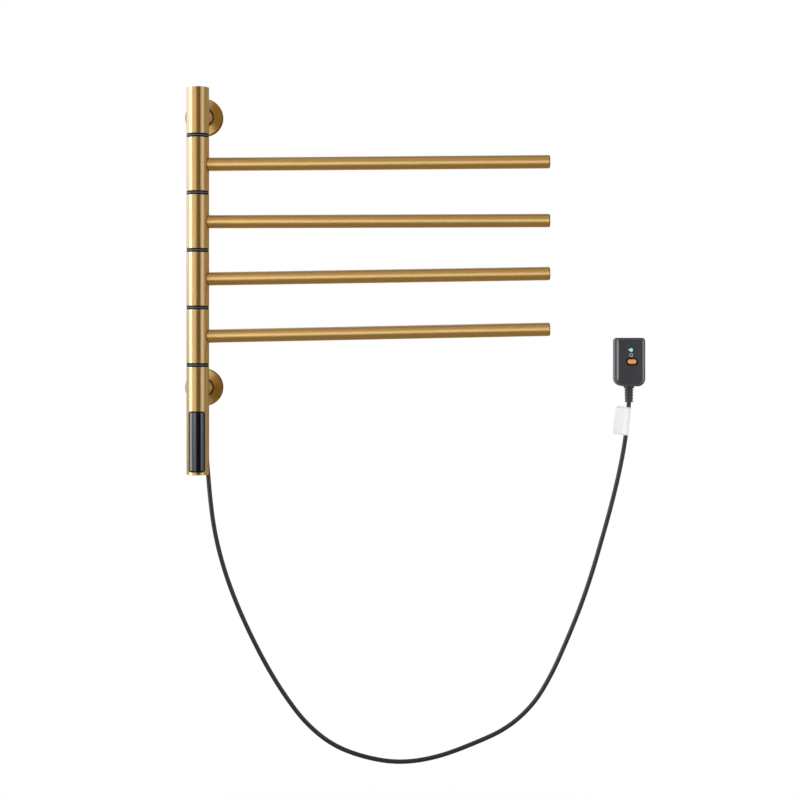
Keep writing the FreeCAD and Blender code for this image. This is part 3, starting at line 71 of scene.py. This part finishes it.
def add_node(tree, kind, sockets=(), **settings):
    """A shader node with its settings, and its sockets given a value or linked to an output."""
    node = tree.nodes.new("ShaderNode" + kind)
    for name, value in settings.items():
        setattr(node, name, value)
    for name, value in dict(sockets).items():
        if isinstance(value, bpy.types.NodeSocket):
            tree.links.new(value, node.inputs[name])
        else:
            node.inputs[name].default_value = value
    return node


def start_material(name):
    """A material emptied for its own shader, and where its patterns lie on the piece."""
    material = bpy.data.materials.new(name)
    material.use_nodes = True
    tree = material.node_tree
    tree.nodes.clear()
    return material, tree, add_node(tree, "TexCoord").outputs["Object"]


def finish_material(tree, **sockets):
    """The shader with its sockets, wired to the surface."""
    named = {name.replace("_", " "): value for name, value in sockets.items()}
    shader = add_node(tree, "BsdfPrincipled", named)
    add_node(tree, "OutputMaterial", {"Surface": shader.outputs["BSDF"]})


# Brush lines a tenth of a millimetre apart are too fine to show, so they are drawn 0.8 mm apart
LINE_SPACING, LINE_LENGTH = 0.8 * MM, 40 * MM
SATIN_LEAST, SATIN_MOST = 0.41, 0.49
# How far a face leans along the axis where a tube's side, or its flat end, turns into an edge
SIDE_LEAN, END_LEAN = (0.2, 0.45), (0.97, 0.86)
# Where the painted shade at the root of an arm begins and ends, from the post's axis
ROOT_SHADE_START, ROOT_SHADE_END = 16.4 * MM, 17.1 * MM


def brushed_gold(name, axis, tones, painted_edge_light, lie, rooted=False):
    """Gold-plated steel, satin brushed about an axis and lacquered, with its eased edges painted a
    colour of their own as a highlight or as shade.
    """
    material, tree, place = start_material(name)
    stretch = [1 / (LINE_SPACING if letter == axis else LINE_LENGTH) for letter in "XYZ"]
    along_lines = add_node(tree, "Mapping", {"Vector": place, "Scale": stretch}).outputs["Vector"]
    noise = {"Vector": along_lines, "Scale": 1, "Detail": 3, "Roughness": 0.6}
    lines = add_node(tree, "TexNoise", noise).outputs["Fac"]
    dark, light = [to_linear(tone) for tone in tones]
    lined = {"Factor": lines, "A": dark, "B": light}
    plate = add_node(tree, "Mix", lined, data_type="RGBA").outputs["Result"]
    # An eased edge leans between the side of a tube and its flat end
    direction = [1.0 if letter == axis else 0.0 for letter in "XYZ"]
    outward = add_node(tree, "TexCoord").outputs["Normal"]
    facing = {0: outward, 1: direction}
    lean = add_node(tree, "VectorMath", facing, operation="DOT_PRODUCT").outputs["Value"]
    lean = add_node(tree, "Math", {0: lean}, operation="ABSOLUTE").outputs[0]
    off_side, off_end = [
        add_node(tree, "MapRange", {"Value": lean, "From Min": start, "From Max": end})
        for start, end in (SIDE_LEAN, END_LEAN)
    ]
    off_both = {0: off_side.outputs["Result"], 1: off_end.outputs["Result"]}
    eased = add_node(tree, "Math", off_both, operation="MULTIPLY").outputs[0]
    if rooted:
        # Painted shade where a bar meets its sleeve, as dark as the painted shade at the bar's
        # other end
        level = {0: place, 1: (1, 1, 0), 2: (-POST.x, -POST.y, 0)}
        offset = add_node(tree, "VectorMath", level, operation="MULTIPLY_ADD").outputs["Vector"]
        from_post = add_node(tree, "VectorMath", {0: offset}, operation="LENGTH").outputs["Value"]
        nearness = {"Value": from_post, "From Min": ROOT_SHADE_END, "From Max": ROOT_SHADE_START}
        root_shade = add_node(tree, "MapRange", nearness).outputs["Result"]
        eased = add_node(tree, "Math", {0: eased, 1: root_shade}, operation="MAXIMUM").outputs[0]
    # Painted light: the eased edges take the edge colour, a painted highlight or painted shade
    edged = {"Factor": eased, "A": plate, "B": to_linear(painted_edge_light)}
    tone = add_node(tree, "Mix", edged, data_type="RGBA").outputs["Result"]
    sheen = {"Value": lines, "To Min": SATIN_LEAST, "To Max": SATIN_MOST}
    satin = add_node(tree, "MapRange", sheen).outputs["Result"]
    brush = add_node(tree, "Tangent", direction_type="RADIAL", axis=axis).outputs["Tangent"]
    finish_material(tree, Base_Color=tone, Metallic=1.0, Roughness=satin, Anisotropic=1.0,
                    Anisotropic_Rotation=lie, Tangent=brush, Coat_Weight=0.5, Coat_Roughness=0.25)
    return material


CLOUD_WIDTH, GRAIN_HEIGHT, GLOSS_SPREAD = 12 * MM, 0.1 * MM, 0.15


def grained(name, tones, roughness, grain, relief=0.1, **sockets):
    """A surface with a slightly cloudy tone and a fine grain in its gloss and its height."""
    material, tree, place = start_material(name)
    cloud, marks = [
        add_node(tree, "TexNoise", {"Vector": place, "Scale": 1 / size, "Detail": 2}).outputs["Fac"]
        for size in (CLOUD_WIDTH, grain)
    ]
    dark, light = [to_linear(tone) for tone in tones]
    clouded = {"Factor": cloud, "A": dark, "B": light}
    tone = add_node(tree, "Mix", clouded, data_type="RGBA").outputs["Result"]
    sheen = {"Value": marks, "To Min": roughness * (1 - GLOSS_SPREAD),
             "To Max": roughness * (1 + GLOSS_SPREAD)}
    gloss = add_node(tree, "MapRange", sheen).outputs["Result"]
    grains = {"Height": marks, "Strength": relief, "Distance": GRAIN_HEIGHT}
    pebble = add_node(tree, "Bump", grains).outputs["Normal"]
    finish_material(tree, Base_Color=tone, Roughness=gloss, Normal=pebble, **sockets)
    return material


# Brushed gold plate: lines round a tube draw its reflections out along it, and the lacquer adds a
# thin white sheen. The covers' lines run outwards, so their bright parts turn with the light.
# Painted edges: a pale painted highlight on the post, painted shade on the arm tips, stems and
# cover rims.
ROUND, OUTWARD = 0.25, 0.0
GOLD = {
    "arms": brushed_gold("gold_plate_brushed_round_arms", "X", ("#D9B574", "#E1BF82"), "#6E5526",
                         ROUND, rooted=True),
    "stems": brushed_gold("gold_plate_brushed_round_stems", "Y", ("#C39B54", "#CDA65E"), "#4A3512",
                          ROUND),
    "covers": brushed_gold("gold_plate_brushed_covers", "Y", ("#C9A25A", "#D2AC66"), "#4A3512",
                           OUTWARD),
    "post": brushed_gold("gold_plate_brushed_round_post", "Z", ("#D7B679", "#DFC087"), "#FBF0D8",
                         ROUND),
}

# Tones, roughness, grain width and relief. Grains of a tenth of a millimetre or finer are drawn
# four to ten times coarser here, so that they show at all.
FINISH = {
    # Die casting skin: even light grey, softly pebbled, with a broad dull shine
    "zinc_casting": grained("die_cast_zinc", ("#A3A3A2", "#AFAFAE"), 0.5, 1.2 * MM, 0.15,
                            Metallic=1.0),
    # Turned screws and bolts: bright, with fine tool marks that break up the highlight
    "bright_steel": grained("turned_steel", ("#BDBDBF", "#C7C7C9"), 0.25, 0.6 * MM, 0.15,
                            Metallic=1.0),
    # Turned bearing plastic: near black, low sheen
    "black_acetal": grained("turned_black_acetal", ("#0B0B0C", "#0F0F10"), 0.4, 0.6 * MM,
                            Specular_IOR_Level=0.1),
    # Thrust washers: dark grey, satin, a faint line between two black ones
    "grey_washer": grained("moulded_grey_nylon", ("#55534F", "#5C5A56"), 0.45, 0.6 * MM),
    # Seals: black and matt, so they read as dark outlines. The ring in each cover's hole round its
    # stem is a dark piece for the shadow in that gap: painted shade.
    "black_rubber": grained("moulded_black_rubber", ("#0C0C0D", "#121213"), 0.65, 0.5 * MM,
                            Specular_IOR_Level=0.1),
    # Touch panel: black with a hard, clear gloss that mirrors the studio in crisp upright bands
    "panel_gloss": grained("polished_black_acrylic", ("#0A0F17", "#0C111A"), 0.06, 6 * MM, 0.0,
                           Specular_IOR_Level=0.68, Specular_Tint=to_linear("#E6EBF3")),
    # Painted shade round the reset button: a soot black ring, open-pored, with hardly any shine,
    # for the shadow in its recess
    "reset_recess_shade": grained("matt_black_recess_shade", ("#120E0B", "#19130F"), 0.9, 0.4 * MM, 0.3,
                         Specular_IOR_Level=0.15),
    # Strain relief and gland: dark grey, flexible and slightly dusty
    "relief_pvc": grained("moulded_dark_pvc", ("#2E2F30", "#363738"), 0.5, 0.6 * MM),
    # Board carrier: milky white with a soft sheen
    "carrier_white": grained("moulded_white_nylon", ("#DEDDD8", "#E6E5E1"), 0.5, 0.5 * MM),
    # Circuit boards: deep green under a clear lacquer
    "board_green": grained("lacquered_circuit_board", ("#175230", "#1F6239"), 0.35, 0.8 * MM),
    # Components on the boards: dull charcoal
    "component_black": grained("moulded_black_epoxy", ("#242424", "#2E2E2E"), 0.5, 0.4 * MM),
    # Wire loom: brick red with a waxy sheen
    "loom_silicone": grained("extruded_red_silicone", ("#92352C", "#A34036"), 0.5, 0.6 * MM),
    # Heating rods: grey steel drawn smooth
    "heater_sheath": grained("drawn_steel_sheath", ("#AAA8A2", "#B6B4AE"), 0.35, 0.9 * MM, 0.15,
                             Metallic=1.0),
    # Gland nut: black with a low satin shine
    "gland_nylon": grained("moulded_black_nylon", ("#1A1A1B", "#202021"), 0.45, 0.5 * MM),
    # Mains lead: black, smooth from the die, with one soft highlight along it
    "cord_pvc": grained("extruded_black_pvc", ("#19191A", "#212122"), 0.45, 0.8 * MM),
    # Tag: smooth white paper, matt, with a faint fibre
    "tag_paper": grained("calendered_white_paper", ("#FDFDFC", "#FFFFFF"), 0.85, 0.5 * MM, 0.2),
    # Plug front: charcoal with a fine spark texture, glossy enough to light up along its rounding
    "plug_front_black": grained("spark_textured_black_abs", ("#3D3F44", "#434549"), 0.13, 0.5 * MM,
                                0.04, Specular_IOR_Level=0.85),
    # Plug back: mid grey and matt
    "plug_rear_black": grained("spark_textured_grey_abs", ("#727376", "#7A7B7E"), 0.5, 0.5 * MM,
                               0.25),
    # Plug pins: pale yellowish nickel over brass, lightly polished
    "pin_brass": grained("nickel_plated_brass", ("#C3B999", "#CDC3A3"), 0.3, 0.8 * MM, 0.15,
                         Metallic=1.0),
    # Indicator ring: light grey, satin
    "indicator_grey": grained("moulded_grey_abs", ("#A4A8AA", "#ADB1B3"), 0.4, 0.4 * MM),
    # Indicator lens: dark and clear-glossed
    "lens_dark": grained("smoked_polycarbonate", ("#1A1E20", "#1E2224"), 0.12, 0.4 * MM, 0.0),
    # Test button: pale mint, satin
    "button_mint": grained("moulded_mint_abs", ("#BCF4E4", "#C6F8EA"), 0.35, 0.4 * MM),
    # Reset button: warm orange, satin
    "button_orange": grained("moulded_orange_abs", ("#F79E4A", "#FAA856"), 0.35, 0.4 * MM),
}


def gold_of(node):
    """Which brushing a gold piece has."""
    if "_bar" in node or "end_cap" in node:
        return "arms"
    if "stem" in node:
        return "stems"
    return "covers" if "cover" in node else "post"


# The strain relief and the gland have a dark grey PVC of their own
for node, piece in NODES.items():
    slot = "relief_pvc" if node in ("plug_strain_relief", "cord_gland") else SLOT_OF[node]
    for holder in piece.material_slots:
        holder.material = GOLD[gold_of(node)] if slot == "brushed_gold" else FINISH[slot]

# Mains lead: from the gland's tip down in one loop and up to the strain relief. Places on the lead
# and on the plug are in millimetres.
LEAD_ROUTE = [
    (9.206, -66.126, -474.0),
    (11.0, -65.6, -498.0),
    (13.0, -65.0, -524.0),
    (15.5, -64.3, -553.0),
    (20.0, -63.4, -590.0),
    (28.0, -62.3, -628.0),
    (39.5, -61.0, -667.0),
    (55.0, -59.6, -708.0),
    (74.0, -58.2, -750.0),
    (96.0, -56.7, -793.0),
    (121.0, -55.2, -834.0),
    (150.6, -53.6, -874.0),
    (189.5, -52.0, -906.5),
    (237.0, -50.3, -924.6),
    (287.0, -48.6, -932.6),
    (339.5, -46.8, -925.0),
    (392.5, -45.0, -905.5),
    (440.0, -43.3, -884.5),
    (478.5, -41.6, -850.5),
    (505.0, -39.9, -807.0),
    (526.3, -38.2, -760.0),
    (546.0, -36.5, -712.5),
    (563.0, -34.9, -664.0),
    (577.5, -33.3, -615.0),
    (591.0, -31.7, -568.0),
    (602.5, -30.2, -522.0),
    (611.0, -29.0, -480.0),
    (615.7, -28.2, -445.0),
    (618.0, -28.0, -414.6),
]
LEAD_LENGTH, LEAD_DIAMETER = 1.2567, 6.4 * MM
lead_curve = bpy.data.curves.new("mains_lead", "CURVE")
lead_curve.dimensions = "3D"
lead_curve.resolution_u = 12
lead_curve.bevel_depth = LEAD_DIAMETER / 2
lead_curve.bevel_resolution = 6
lead_curve.use_fill_caps = True
lead_line = lead_curve.splines.new("NURBS")
lead_line.points.add(len(LEAD_ROUTE) - 1)
for point, place in zip(lead_line.points, LEAD_ROUTE):
    point.co = (*[length * MM for length in place], 1)
lead_line.order_u = 3
lead_line.use_endpoint_u = True
mains_lead = bpy.data.objects.new("mains_lead", lead_curve)
SCENE.collection.objects.link(mains_lead)
lead_curve.materials.append(FINISH["cord_pvc"])
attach(mains_lead, "post")
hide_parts("power_cord")


def vertices_of(geometry):
    """The vertices among what an operator returned."""
    return [item for item in geometry if isinstance(item, bmesh.types.BMVert)]


def add_piece(name, mesh_work, material):
    """A finished mesh as a piece of its own."""
    bmesh.ops.recalc_face_normals(mesh_work, faces=mesh_work.faces)
    mesh = bpy.data.meshes.new(name)
    mesh_work.to_mesh(mesh)
    mesh_work.free()
    mesh.materials.append(material)
    piece = bpy.data.objects.new(name, mesh)
    SCENE.collection.objects.link(piece)
    return piece


# Paper tag: a strip looped round the lead, its ends stuck together to a flag that has begun to curl
TAG_TOP, TAG_FOOT = Vector((617.42, -28.05, -422.3)), Vector((613.3, -28.6, -462.7))
TAG_WIDTH, TAG_HEIGHT, TAG_LOOP, LAYER_GAP, PAPER_THICKNESS = 15.2, 40.6, 4.0, 0.14, 0.16
FLAG_STEPS, DROP_STEPS, LOOP_STEPS = 10, 14, 20
TWIST_TOP, CURL_TOP, CURL_FOOT = math.radians(14), math.radians(22), math.radians(-8)
TWIST_QUICKENING = 5

paper = bmesh.new()
seam_turn = math.asin(LAYER_GAP / TAG_LOOP)
first = paper.verts.new((-TAG_LOOP * math.cos(seam_turn), -LAYER_GAP, 0))
loop = bmesh.ops.spin(paper, geom=[first], cent=(0, 0, 0), axis=(0, 0, 1), steps=LOOP_STEPS,
                      angle=2 * math.pi - 2 * seam_turn, use_merge=False)
last = vertices_of(loop["geom_last"])[0]
for end in (first, last):
    for step in range(FLAG_STEPS):
        end = bmesh.ops.extrude_vert_indiv(paper, verts=[end])["verts"][0]
        bmesh.ops.translate(paper, vec=(-TAG_WIDTH / FLAG_STEPS, 0, 0), verts=[end])
edge_row = paper.edges[:]
for step in range(DROP_STEPS):
    row = bmesh.ops.extrude_edge_only(paper, edges=edge_row)["geom"]
    edge_row = [item for item in row if isinstance(item, bmesh.types.BMEdge)
                and all(vert in row for vert in item.verts)]
    bmesh.ops.translate(paper, vec=(0, 0, -TAG_HEIGHT / DROP_STEPS), verts=vertices_of(row))
for vert in paper.verts:
    out = max(0.0, -vert.co.x - TAG_LOOP) / TAG_WIDTH
    down = -vert.co.z / TAG_HEIGHT
    curl = (CURL_TOP * (1 - down) + CURL_FOOT * down) * out
    twist = TWIST_TOP * (1 - down) * min(1, TWIST_QUICKENING * out)
    vert.co = Matrix.Rotation(-curl - twist, 3, "Z") @ vert.co
upward = (TAG_TOP - TAG_FOOT).normalized()
across = (Vector((1, 0, 0)) - upward * upward.x).normalized()
tag_turn = Matrix((across, upward.cross(across), upward)).transposed().to_4x4()
tag_place = Matrix.Scale(MM, 4) @ Matrix.Translation(TAG_TOP) @ tag_turn
bmesh.ops.transform(paper, matrix=tag_place, verts=paper.verts)
paper_tag = add_piece("paper_tag", paper, FINISH["tag_paper"])
paper_wall = paper_tag.modifiers.new("paper", "SOLIDIFY")
paper_wall.thickness = PAPER_THICKNESS * MM
paper_wall.offset = 0
for face in paper_tag.data.polygons:
    face.use_smooth = True
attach(paper_tag, "post")
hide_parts("cord_tag")

# Pointer beside the test button: a low three-sided mark with eased edges
POINTER_PLACE = Vector((614.6, -52.0, -339.0))
POINTER_RADIUS, POINTER_RISE, POINTER_EASING = 1.3, 0.3, 0.1
pointer = bmesh.new()
bmesh.ops.create_circle(pointer, cap_ends=True, segments=3, radius=POINTER_RADIUS)
raised = bmesh.ops.extrude_face_region(pointer, geom=pointer.faces[:])["geom"]
bmesh.ops.translate(pointer, vec=(0, 0, POINTER_RISE), verts=vertices_of(raised))
bmesh.ops.bevel(pointer, geom=pointer.edges[:], offset=POINTER_EASING, offset_type="OFFSET",
                affect="EDGES", segments=2, profile=0.5, material=-1)
to_front = Matrix.Rotation(math.radians(90), 4, "X")
to_the_left = to_front @ Matrix.Rotation(math.radians(90), 4, "Z")
on_plug = Matrix.Scale(MM, 4) @ Matrix.Translation(POINTER_PLACE) @ to_the_left
bmesh.ops.transform(pointer, matrix=on_plug, verts=pointer.verts)
test_pointer = add_piece("test_pointer", pointer, FINISH["button_mint"])
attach(test_pointer, "post")

# Painted shade round the reset button: a soot black ring on the floor of its recess, for the shadow
# there
SHADE_RING_PLACE = Vector((619.2, -50.6, -355.7))
SHADE_RING_RADIUS, SHADE_RING_STRAIGHT, SHADE_RING_WIDTH, SHADE_RING_RISE = 5.5, 3.05, 2.0, 0.6
SHADE_RING_SEGMENTS = 36
shade_ring = bmesh.new()
bmesh.ops.create_circle(shade_ring, cap_ends=True, segments=SHADE_RING_SEGMENTS, radius=SHADE_RING_RADIUS)
half_step = Matrix.Rotation(math.pi / SHADE_RING_SEGMENTS, 3, "Z")
bmesh.ops.rotate(shade_ring, cent=(0, 0, 0), matrix=half_step, verts=shade_ring.verts)
for side in (-1, 1):
    half = [vert for vert in shade_ring.verts if side * vert.co.x > 0]
    bmesh.ops.translate(shade_ring, vec=(side * SHADE_RING_STRAIGHT, 0, 0), verts=half)
middle = shade_ring.faces[:]
bmesh.ops.inset_region(shade_ring, faces=middle, thickness=SHADE_RING_WIDTH, use_boundary=True,
                       use_even_offset=True)
bmesh.ops.delete(shade_ring, geom=middle, context="FACES")
raised = bmesh.ops.extrude_face_region(shade_ring, geom=shade_ring.faces[:])["geom"]
bmesh.ops.translate(shade_ring, vec=(0, 0, SHADE_RING_RISE), verts=vertices_of(raised))
in_recess = Matrix.Scale(MM, 4) @ Matrix.Translation(SHADE_RING_PLACE) @ to_front
bmesh.ops.transform(shade_ring, matrix=in_recess, verts=shade_ring.verts)
reset_shade_ring = add_piece("reset_shade_ring", shade_ring, FINISH["reset_recess_shade"])
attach(reset_shade_ring, "post")


def seen_directly(tree):
    """One for rays from the camera, in reflections and through glass, which see full white."""
    ray = add_node(tree, "LightPath").outputs
    seen = ray["Is Camera Ray"]
    for kind in ("Is Glossy Ray", "Is Transmission Ray"):
        seen = add_node(tree, "Math", {0: seen, 1: ray[kind]}, operation="MAXIMUM").outputs[0]
    return seen


# Surroundings: white where they are seen, dimmer as light on the object
FILL_LIGHT, FULL_WHITE = 0.62, 1.0
world = bpy.data.worlds.new("white_studio")
SCENE.world = world
world.use_nodes = True
tree = world.node_tree
levels = {"Value": seen_directly(tree), "To Min": FILL_LIGHT, "To Max": FULL_WHITE}
strength = add_node(tree, "MapRange", levels).outputs["Result"]
tree.links.new(strength, tree.nodes["Background"].inputs["Strength"])
tree.nodes["Background"].inputs["Color"].default_value = (1, 1, 1, 1)


def round_the_post(bearing, distance, height=0.0):
    """A place at a bearing from the post: 0 degrees is straight in front, positive to the right."""
    turn = math.radians(bearing)
    return POST + Vector((distance * math.sin(turn), -distance * math.cos(turn), height))


def width_between(bearings, distance):
    """How wide a flat sheet at a distance has to be to fill the bearings between two."""
    return 2 * distance * math.tan(math.radians(bearings[1] - bearings[0]) / 2)


def softbox(name, bearings, distance, heights, radiance):
    """A soft light that fills the bearings between two, seen from the post."""
    centre = round_the_post(sum(bearings) / 2, distance, sum(heights) / 2)
    lamp = bpy.data.lights.new(name, "AREA")
    lamp.shape = "RECTANGLE"
    lamp.size = width_between(bearings, distance)
    lamp.size_y = heights[1] - heights[0]
    lamp.energy = radiance * math.pi * lamp.size * lamp.size_y
    box = bpy.data.objects.new(name, lamp)
    SCENE.collection.objects.link(box)
    box.location = centre
    level_aim = Vector((POST.x, POST.y, centre.z))
    box.rotation_euler = (level_aim - centre).to_track_quat("-Z", "Y").to_euler()


def reflected_card(name, mesh_work, glow_of, strength=1.0):
    """A card that only the reflections see."""
    material, tree, place = start_material(name)
    glow = add_node(tree, "Emission", {"Color": glow_of(tree, place), "Strength": strength})
    add_node(tree, "OutputMaterial", {"Surface": glow.outputs["Emission"]})
    card = add_piece(name, mesh_work, material)
    card.visible_camera = False
    card.visible_diffuse = False
    card.visible_shadow = False
    card.visible_transmission = False


def plain_card(name, size, frame_of_card, colour, strength=1.0):
    """A flat card of one colour."""
    card = bmesh.new()
    bmesh.ops.create_grid(card, x_segments=1, y_segments=1, size=0.5)
    bmesh.ops.scale(card, vec=(*size, 1), verts=card.verts)
    bmesh.ops.transform(card, matrix=frame_of_card, verts=card.verts)
    reflected_card(name, card, lambda tree, place: to_linear(colour), strength)


FULL_HEIGHT = (-1.6, 1.6)


def standing_card(name, bearings, distance, colour, strength=1.0, heights=FULL_HEIGHT):
    """A plain upright card that fills the bearings between two, seen from the post."""
    centre = round_the_post(sum(bearings) / 2, distance, sum(heights) / 2)
    size = (width_between(bearings, distance), heights[1] - heights[0])
    level_aim = Vector((POST.x, POST.y, centre.z))
    facing = (level_aim - centre).to_track_quat("Z", "Y").to_matrix().to_4x4()
    plain_card(name, size, Matrix.Translation(centre) @ facing, colour, strength)


# Bearings in degrees, distances and heights in metres. The left softbox draws the highlight down
# the post, and the left cards its left edge, pale above and warm below.
softbox("left_softbox", (-86, -54), distance=1.5, heights=(-0.45, 0.8), radiance=5.0)
softbox("right_softbox", (41, 73), distance=2.2, heights=(-1.2, 1.2), radiance=0.76)
LEFT, LEFT_DISTANCE, LEFT_SPLIT = (-135, -86), 0.9, 0.05
standing_card("left_card_high", LEFT, LEFT_DISTANCE, "#D3DEFF", 2.9, heights=(LEFT_SPLIT, 1.4))
standing_card("left_card_low", LEFT, LEFT_DISTANCE, "#D9CCB0", 0.7, heights=(-1.2, LEFT_SPLIT))
# The dark cards draw the dark band beside the post's middle
standing_card("dark_card_edge", (-12, 1), 1.4, "#B39C72")
standing_card("dark_card", (1, 37), 1.4, "#3A2A0A")
standing_card("right_card", (75, 165), 1.5, "#BDB3A0")
# The floor card dims the undersides, and the back card darkens the outlines
plain_card("floor_card", (4.6, 3.6), Matrix.Translation((0.3, -0.1, -1.26)), "#AA9C81")
plain_card("back_card", (0.8, 1.2), Matrix.Translation((0.4, 1.5, -0.4)) @ to_front, "#2A2A2B")

# Cove: a sheet bent in front of and over the object, which draws the bands along the arms. Angle
# above the level in degrees, brightness, and lean to warm, where less than zero is cool.
COVE_STOPS = [(-30, 0.55, 0.3), (-17, 0.65, 0.4), (-2.5, 3.6, -0.2), (8, 2.0, -0.05),
              (24, 1.1, 0.3), (46, 0.94, 0.45), (67, 0.82, 0.45), (92, 0.53, 0.3),
              (125, 0.40, 0.1)]
GREEN_WARMTH_SHARE = 0.4
# Place across in metres and the share of the brightness there
COVE_LEFT, COVE_RIGHT = (-0.1, 0.95), (1.2, 0.7)
COVE_AXIS, COVE_RADIUS = Vector((0.3, -0.085, -0.32)), 2.0
COVE_WIDTH, COVE_START, COVE_SWEEP, COVE_STEPS = 4.6, math.radians(-62), math.radians(-155), 48


def cove_glow(tree, place):
    """Brightest level with the arms and to the left, dimmer and warmer above and below."""
    split = add_node(tree, "SeparateXYZ", {"Vector": place}).outputs
    ahead = add_node(tree, "Math", {0: split["Y"], 1: -1.0}, operation="MULTIPLY").outputs[0]
    up = add_node(tree, "Math", {0: split["Z"], 1: COVE_AXIS.z}, operation="SUBTRACT").outputs[0]
    angle = add_node(tree, "Math", {0: up, 1: ahead}, operation="ARCTAN2").outputs[0]
    full_turn = {"Value": angle, "From Min": -math.pi, "From Max": math.pi}
    turn_share = add_node(tree, "MapRange", full_turn).outputs["Result"]
    ramp = add_node(tree, "ValToRGB", {"Fac": turn_share})
    stops = ramp.color_ramp.elements
    for degrees, brightness, warmth in COVE_STOPS:
        stop = stops.new((degrees + 180) / 360)
        green, blue = 1 - GREEN_WARMTH_SHARE * warmth, 1 - warmth
        stop.color = (brightness, brightness * green, brightness * blue, 1)
    stops.remove(stops[0])
    stops.remove(stops[len(stops) - 1])
    to_the_right = {"Value": split["X"], "From Min": COVE_LEFT[0], "From Max": COVE_RIGHT[0],
                    "To Min": COVE_LEFT[1], "To Max": COVE_RIGHT[1]}
    fade = add_node(tree, "MapRange", to_the_right).outputs["Result"]
    faded = {0: ramp.outputs["Color"], "Scale": fade}
    return add_node(tree, "VectorMath", faded, operation="SCALE").outputs["Vector"]


cove = bmesh.new()
rim = [cove.verts.new(COVE_AXIS + Vector((side * COVE_WIDTH / 2, 0, -COVE_RADIUS)))
       for side in (-1, 1)]
rim_edge = cove.edges.new(rim)
bmesh.ops.rotate(cove, cent=COVE_AXIS, matrix=Matrix.Rotation(COVE_START, 3, "X"), verts=cove.verts)
bmesh.ops.spin(cove, geom=[*rim, rim_edge], cent=COVE_AXIS, axis=(1, 0, 0), steps=COVE_STEPS,
               angle=COVE_SWEEP, use_merge=False)
reflected_card("cove", cove, cove_glow)

# Floor: pale, with the object's shadow near it, and white far off
FLOOR_LEVEL, FLOOR_REACH, SHADOW_REACH, WHITE_FROM = -1.3, 20, 0.7, 1.3
WHITE_SHARE_NEAR = 0.85
material, tree, place = start_material("matt_white_floor")
paint = add_node(tree, "BsdfDiffuse", {"Color": to_linear("#F4F4F4")})
white = add_node(tree, "Emission", {"Color": (1, 1, 1, 1), "Strength": FULL_WHITE})
under_object = {"Vector": place, "Location": (-COVE_AXIS.x, 0, -FLOOR_LEVEL)}
centred = add_node(tree, "Mapping", under_object).outputs["Vector"]
reach = add_node(tree, "VectorMath", {0: centred}, operation="LENGTH").outputs["Value"]
whitening = {"Value": reach, "From Min": SHADOW_REACH, "From Max": WHITE_FROM,
             "To Min": WHITE_SHARE_NEAR, "To Max": 1.0}
far = add_node(tree, "MapRange", whitening, interpolation_type="SMOOTHSTEP").outputs["Result"]
seen_white = {0: seen_directly(tree), 1: far}
share = add_node(tree, "Math", seen_white, operation="MULTIPLY").outputs[0]
mixed = {0: share, 1: paint.outputs["BSDF"], 2: white.outputs["Emission"]}
both = add_node(tree, "MixShader", mixed)
add_node(tree, "OutputMaterial", {"Surface": both.outputs["Shader"]})
ground = bmesh.new()
bmesh.ops.create_grid(ground, x_segments=1, y_segments=1, size=FLOOR_REACH)
bmesh.ops.translate(ground, vec=(0, 0, FLOOR_LEVEL), verts=ground.verts)
add_piece("floor", ground, material)

SCENE.view_settings.view_transform = "Standard"

bpy.context.view_layer.update()
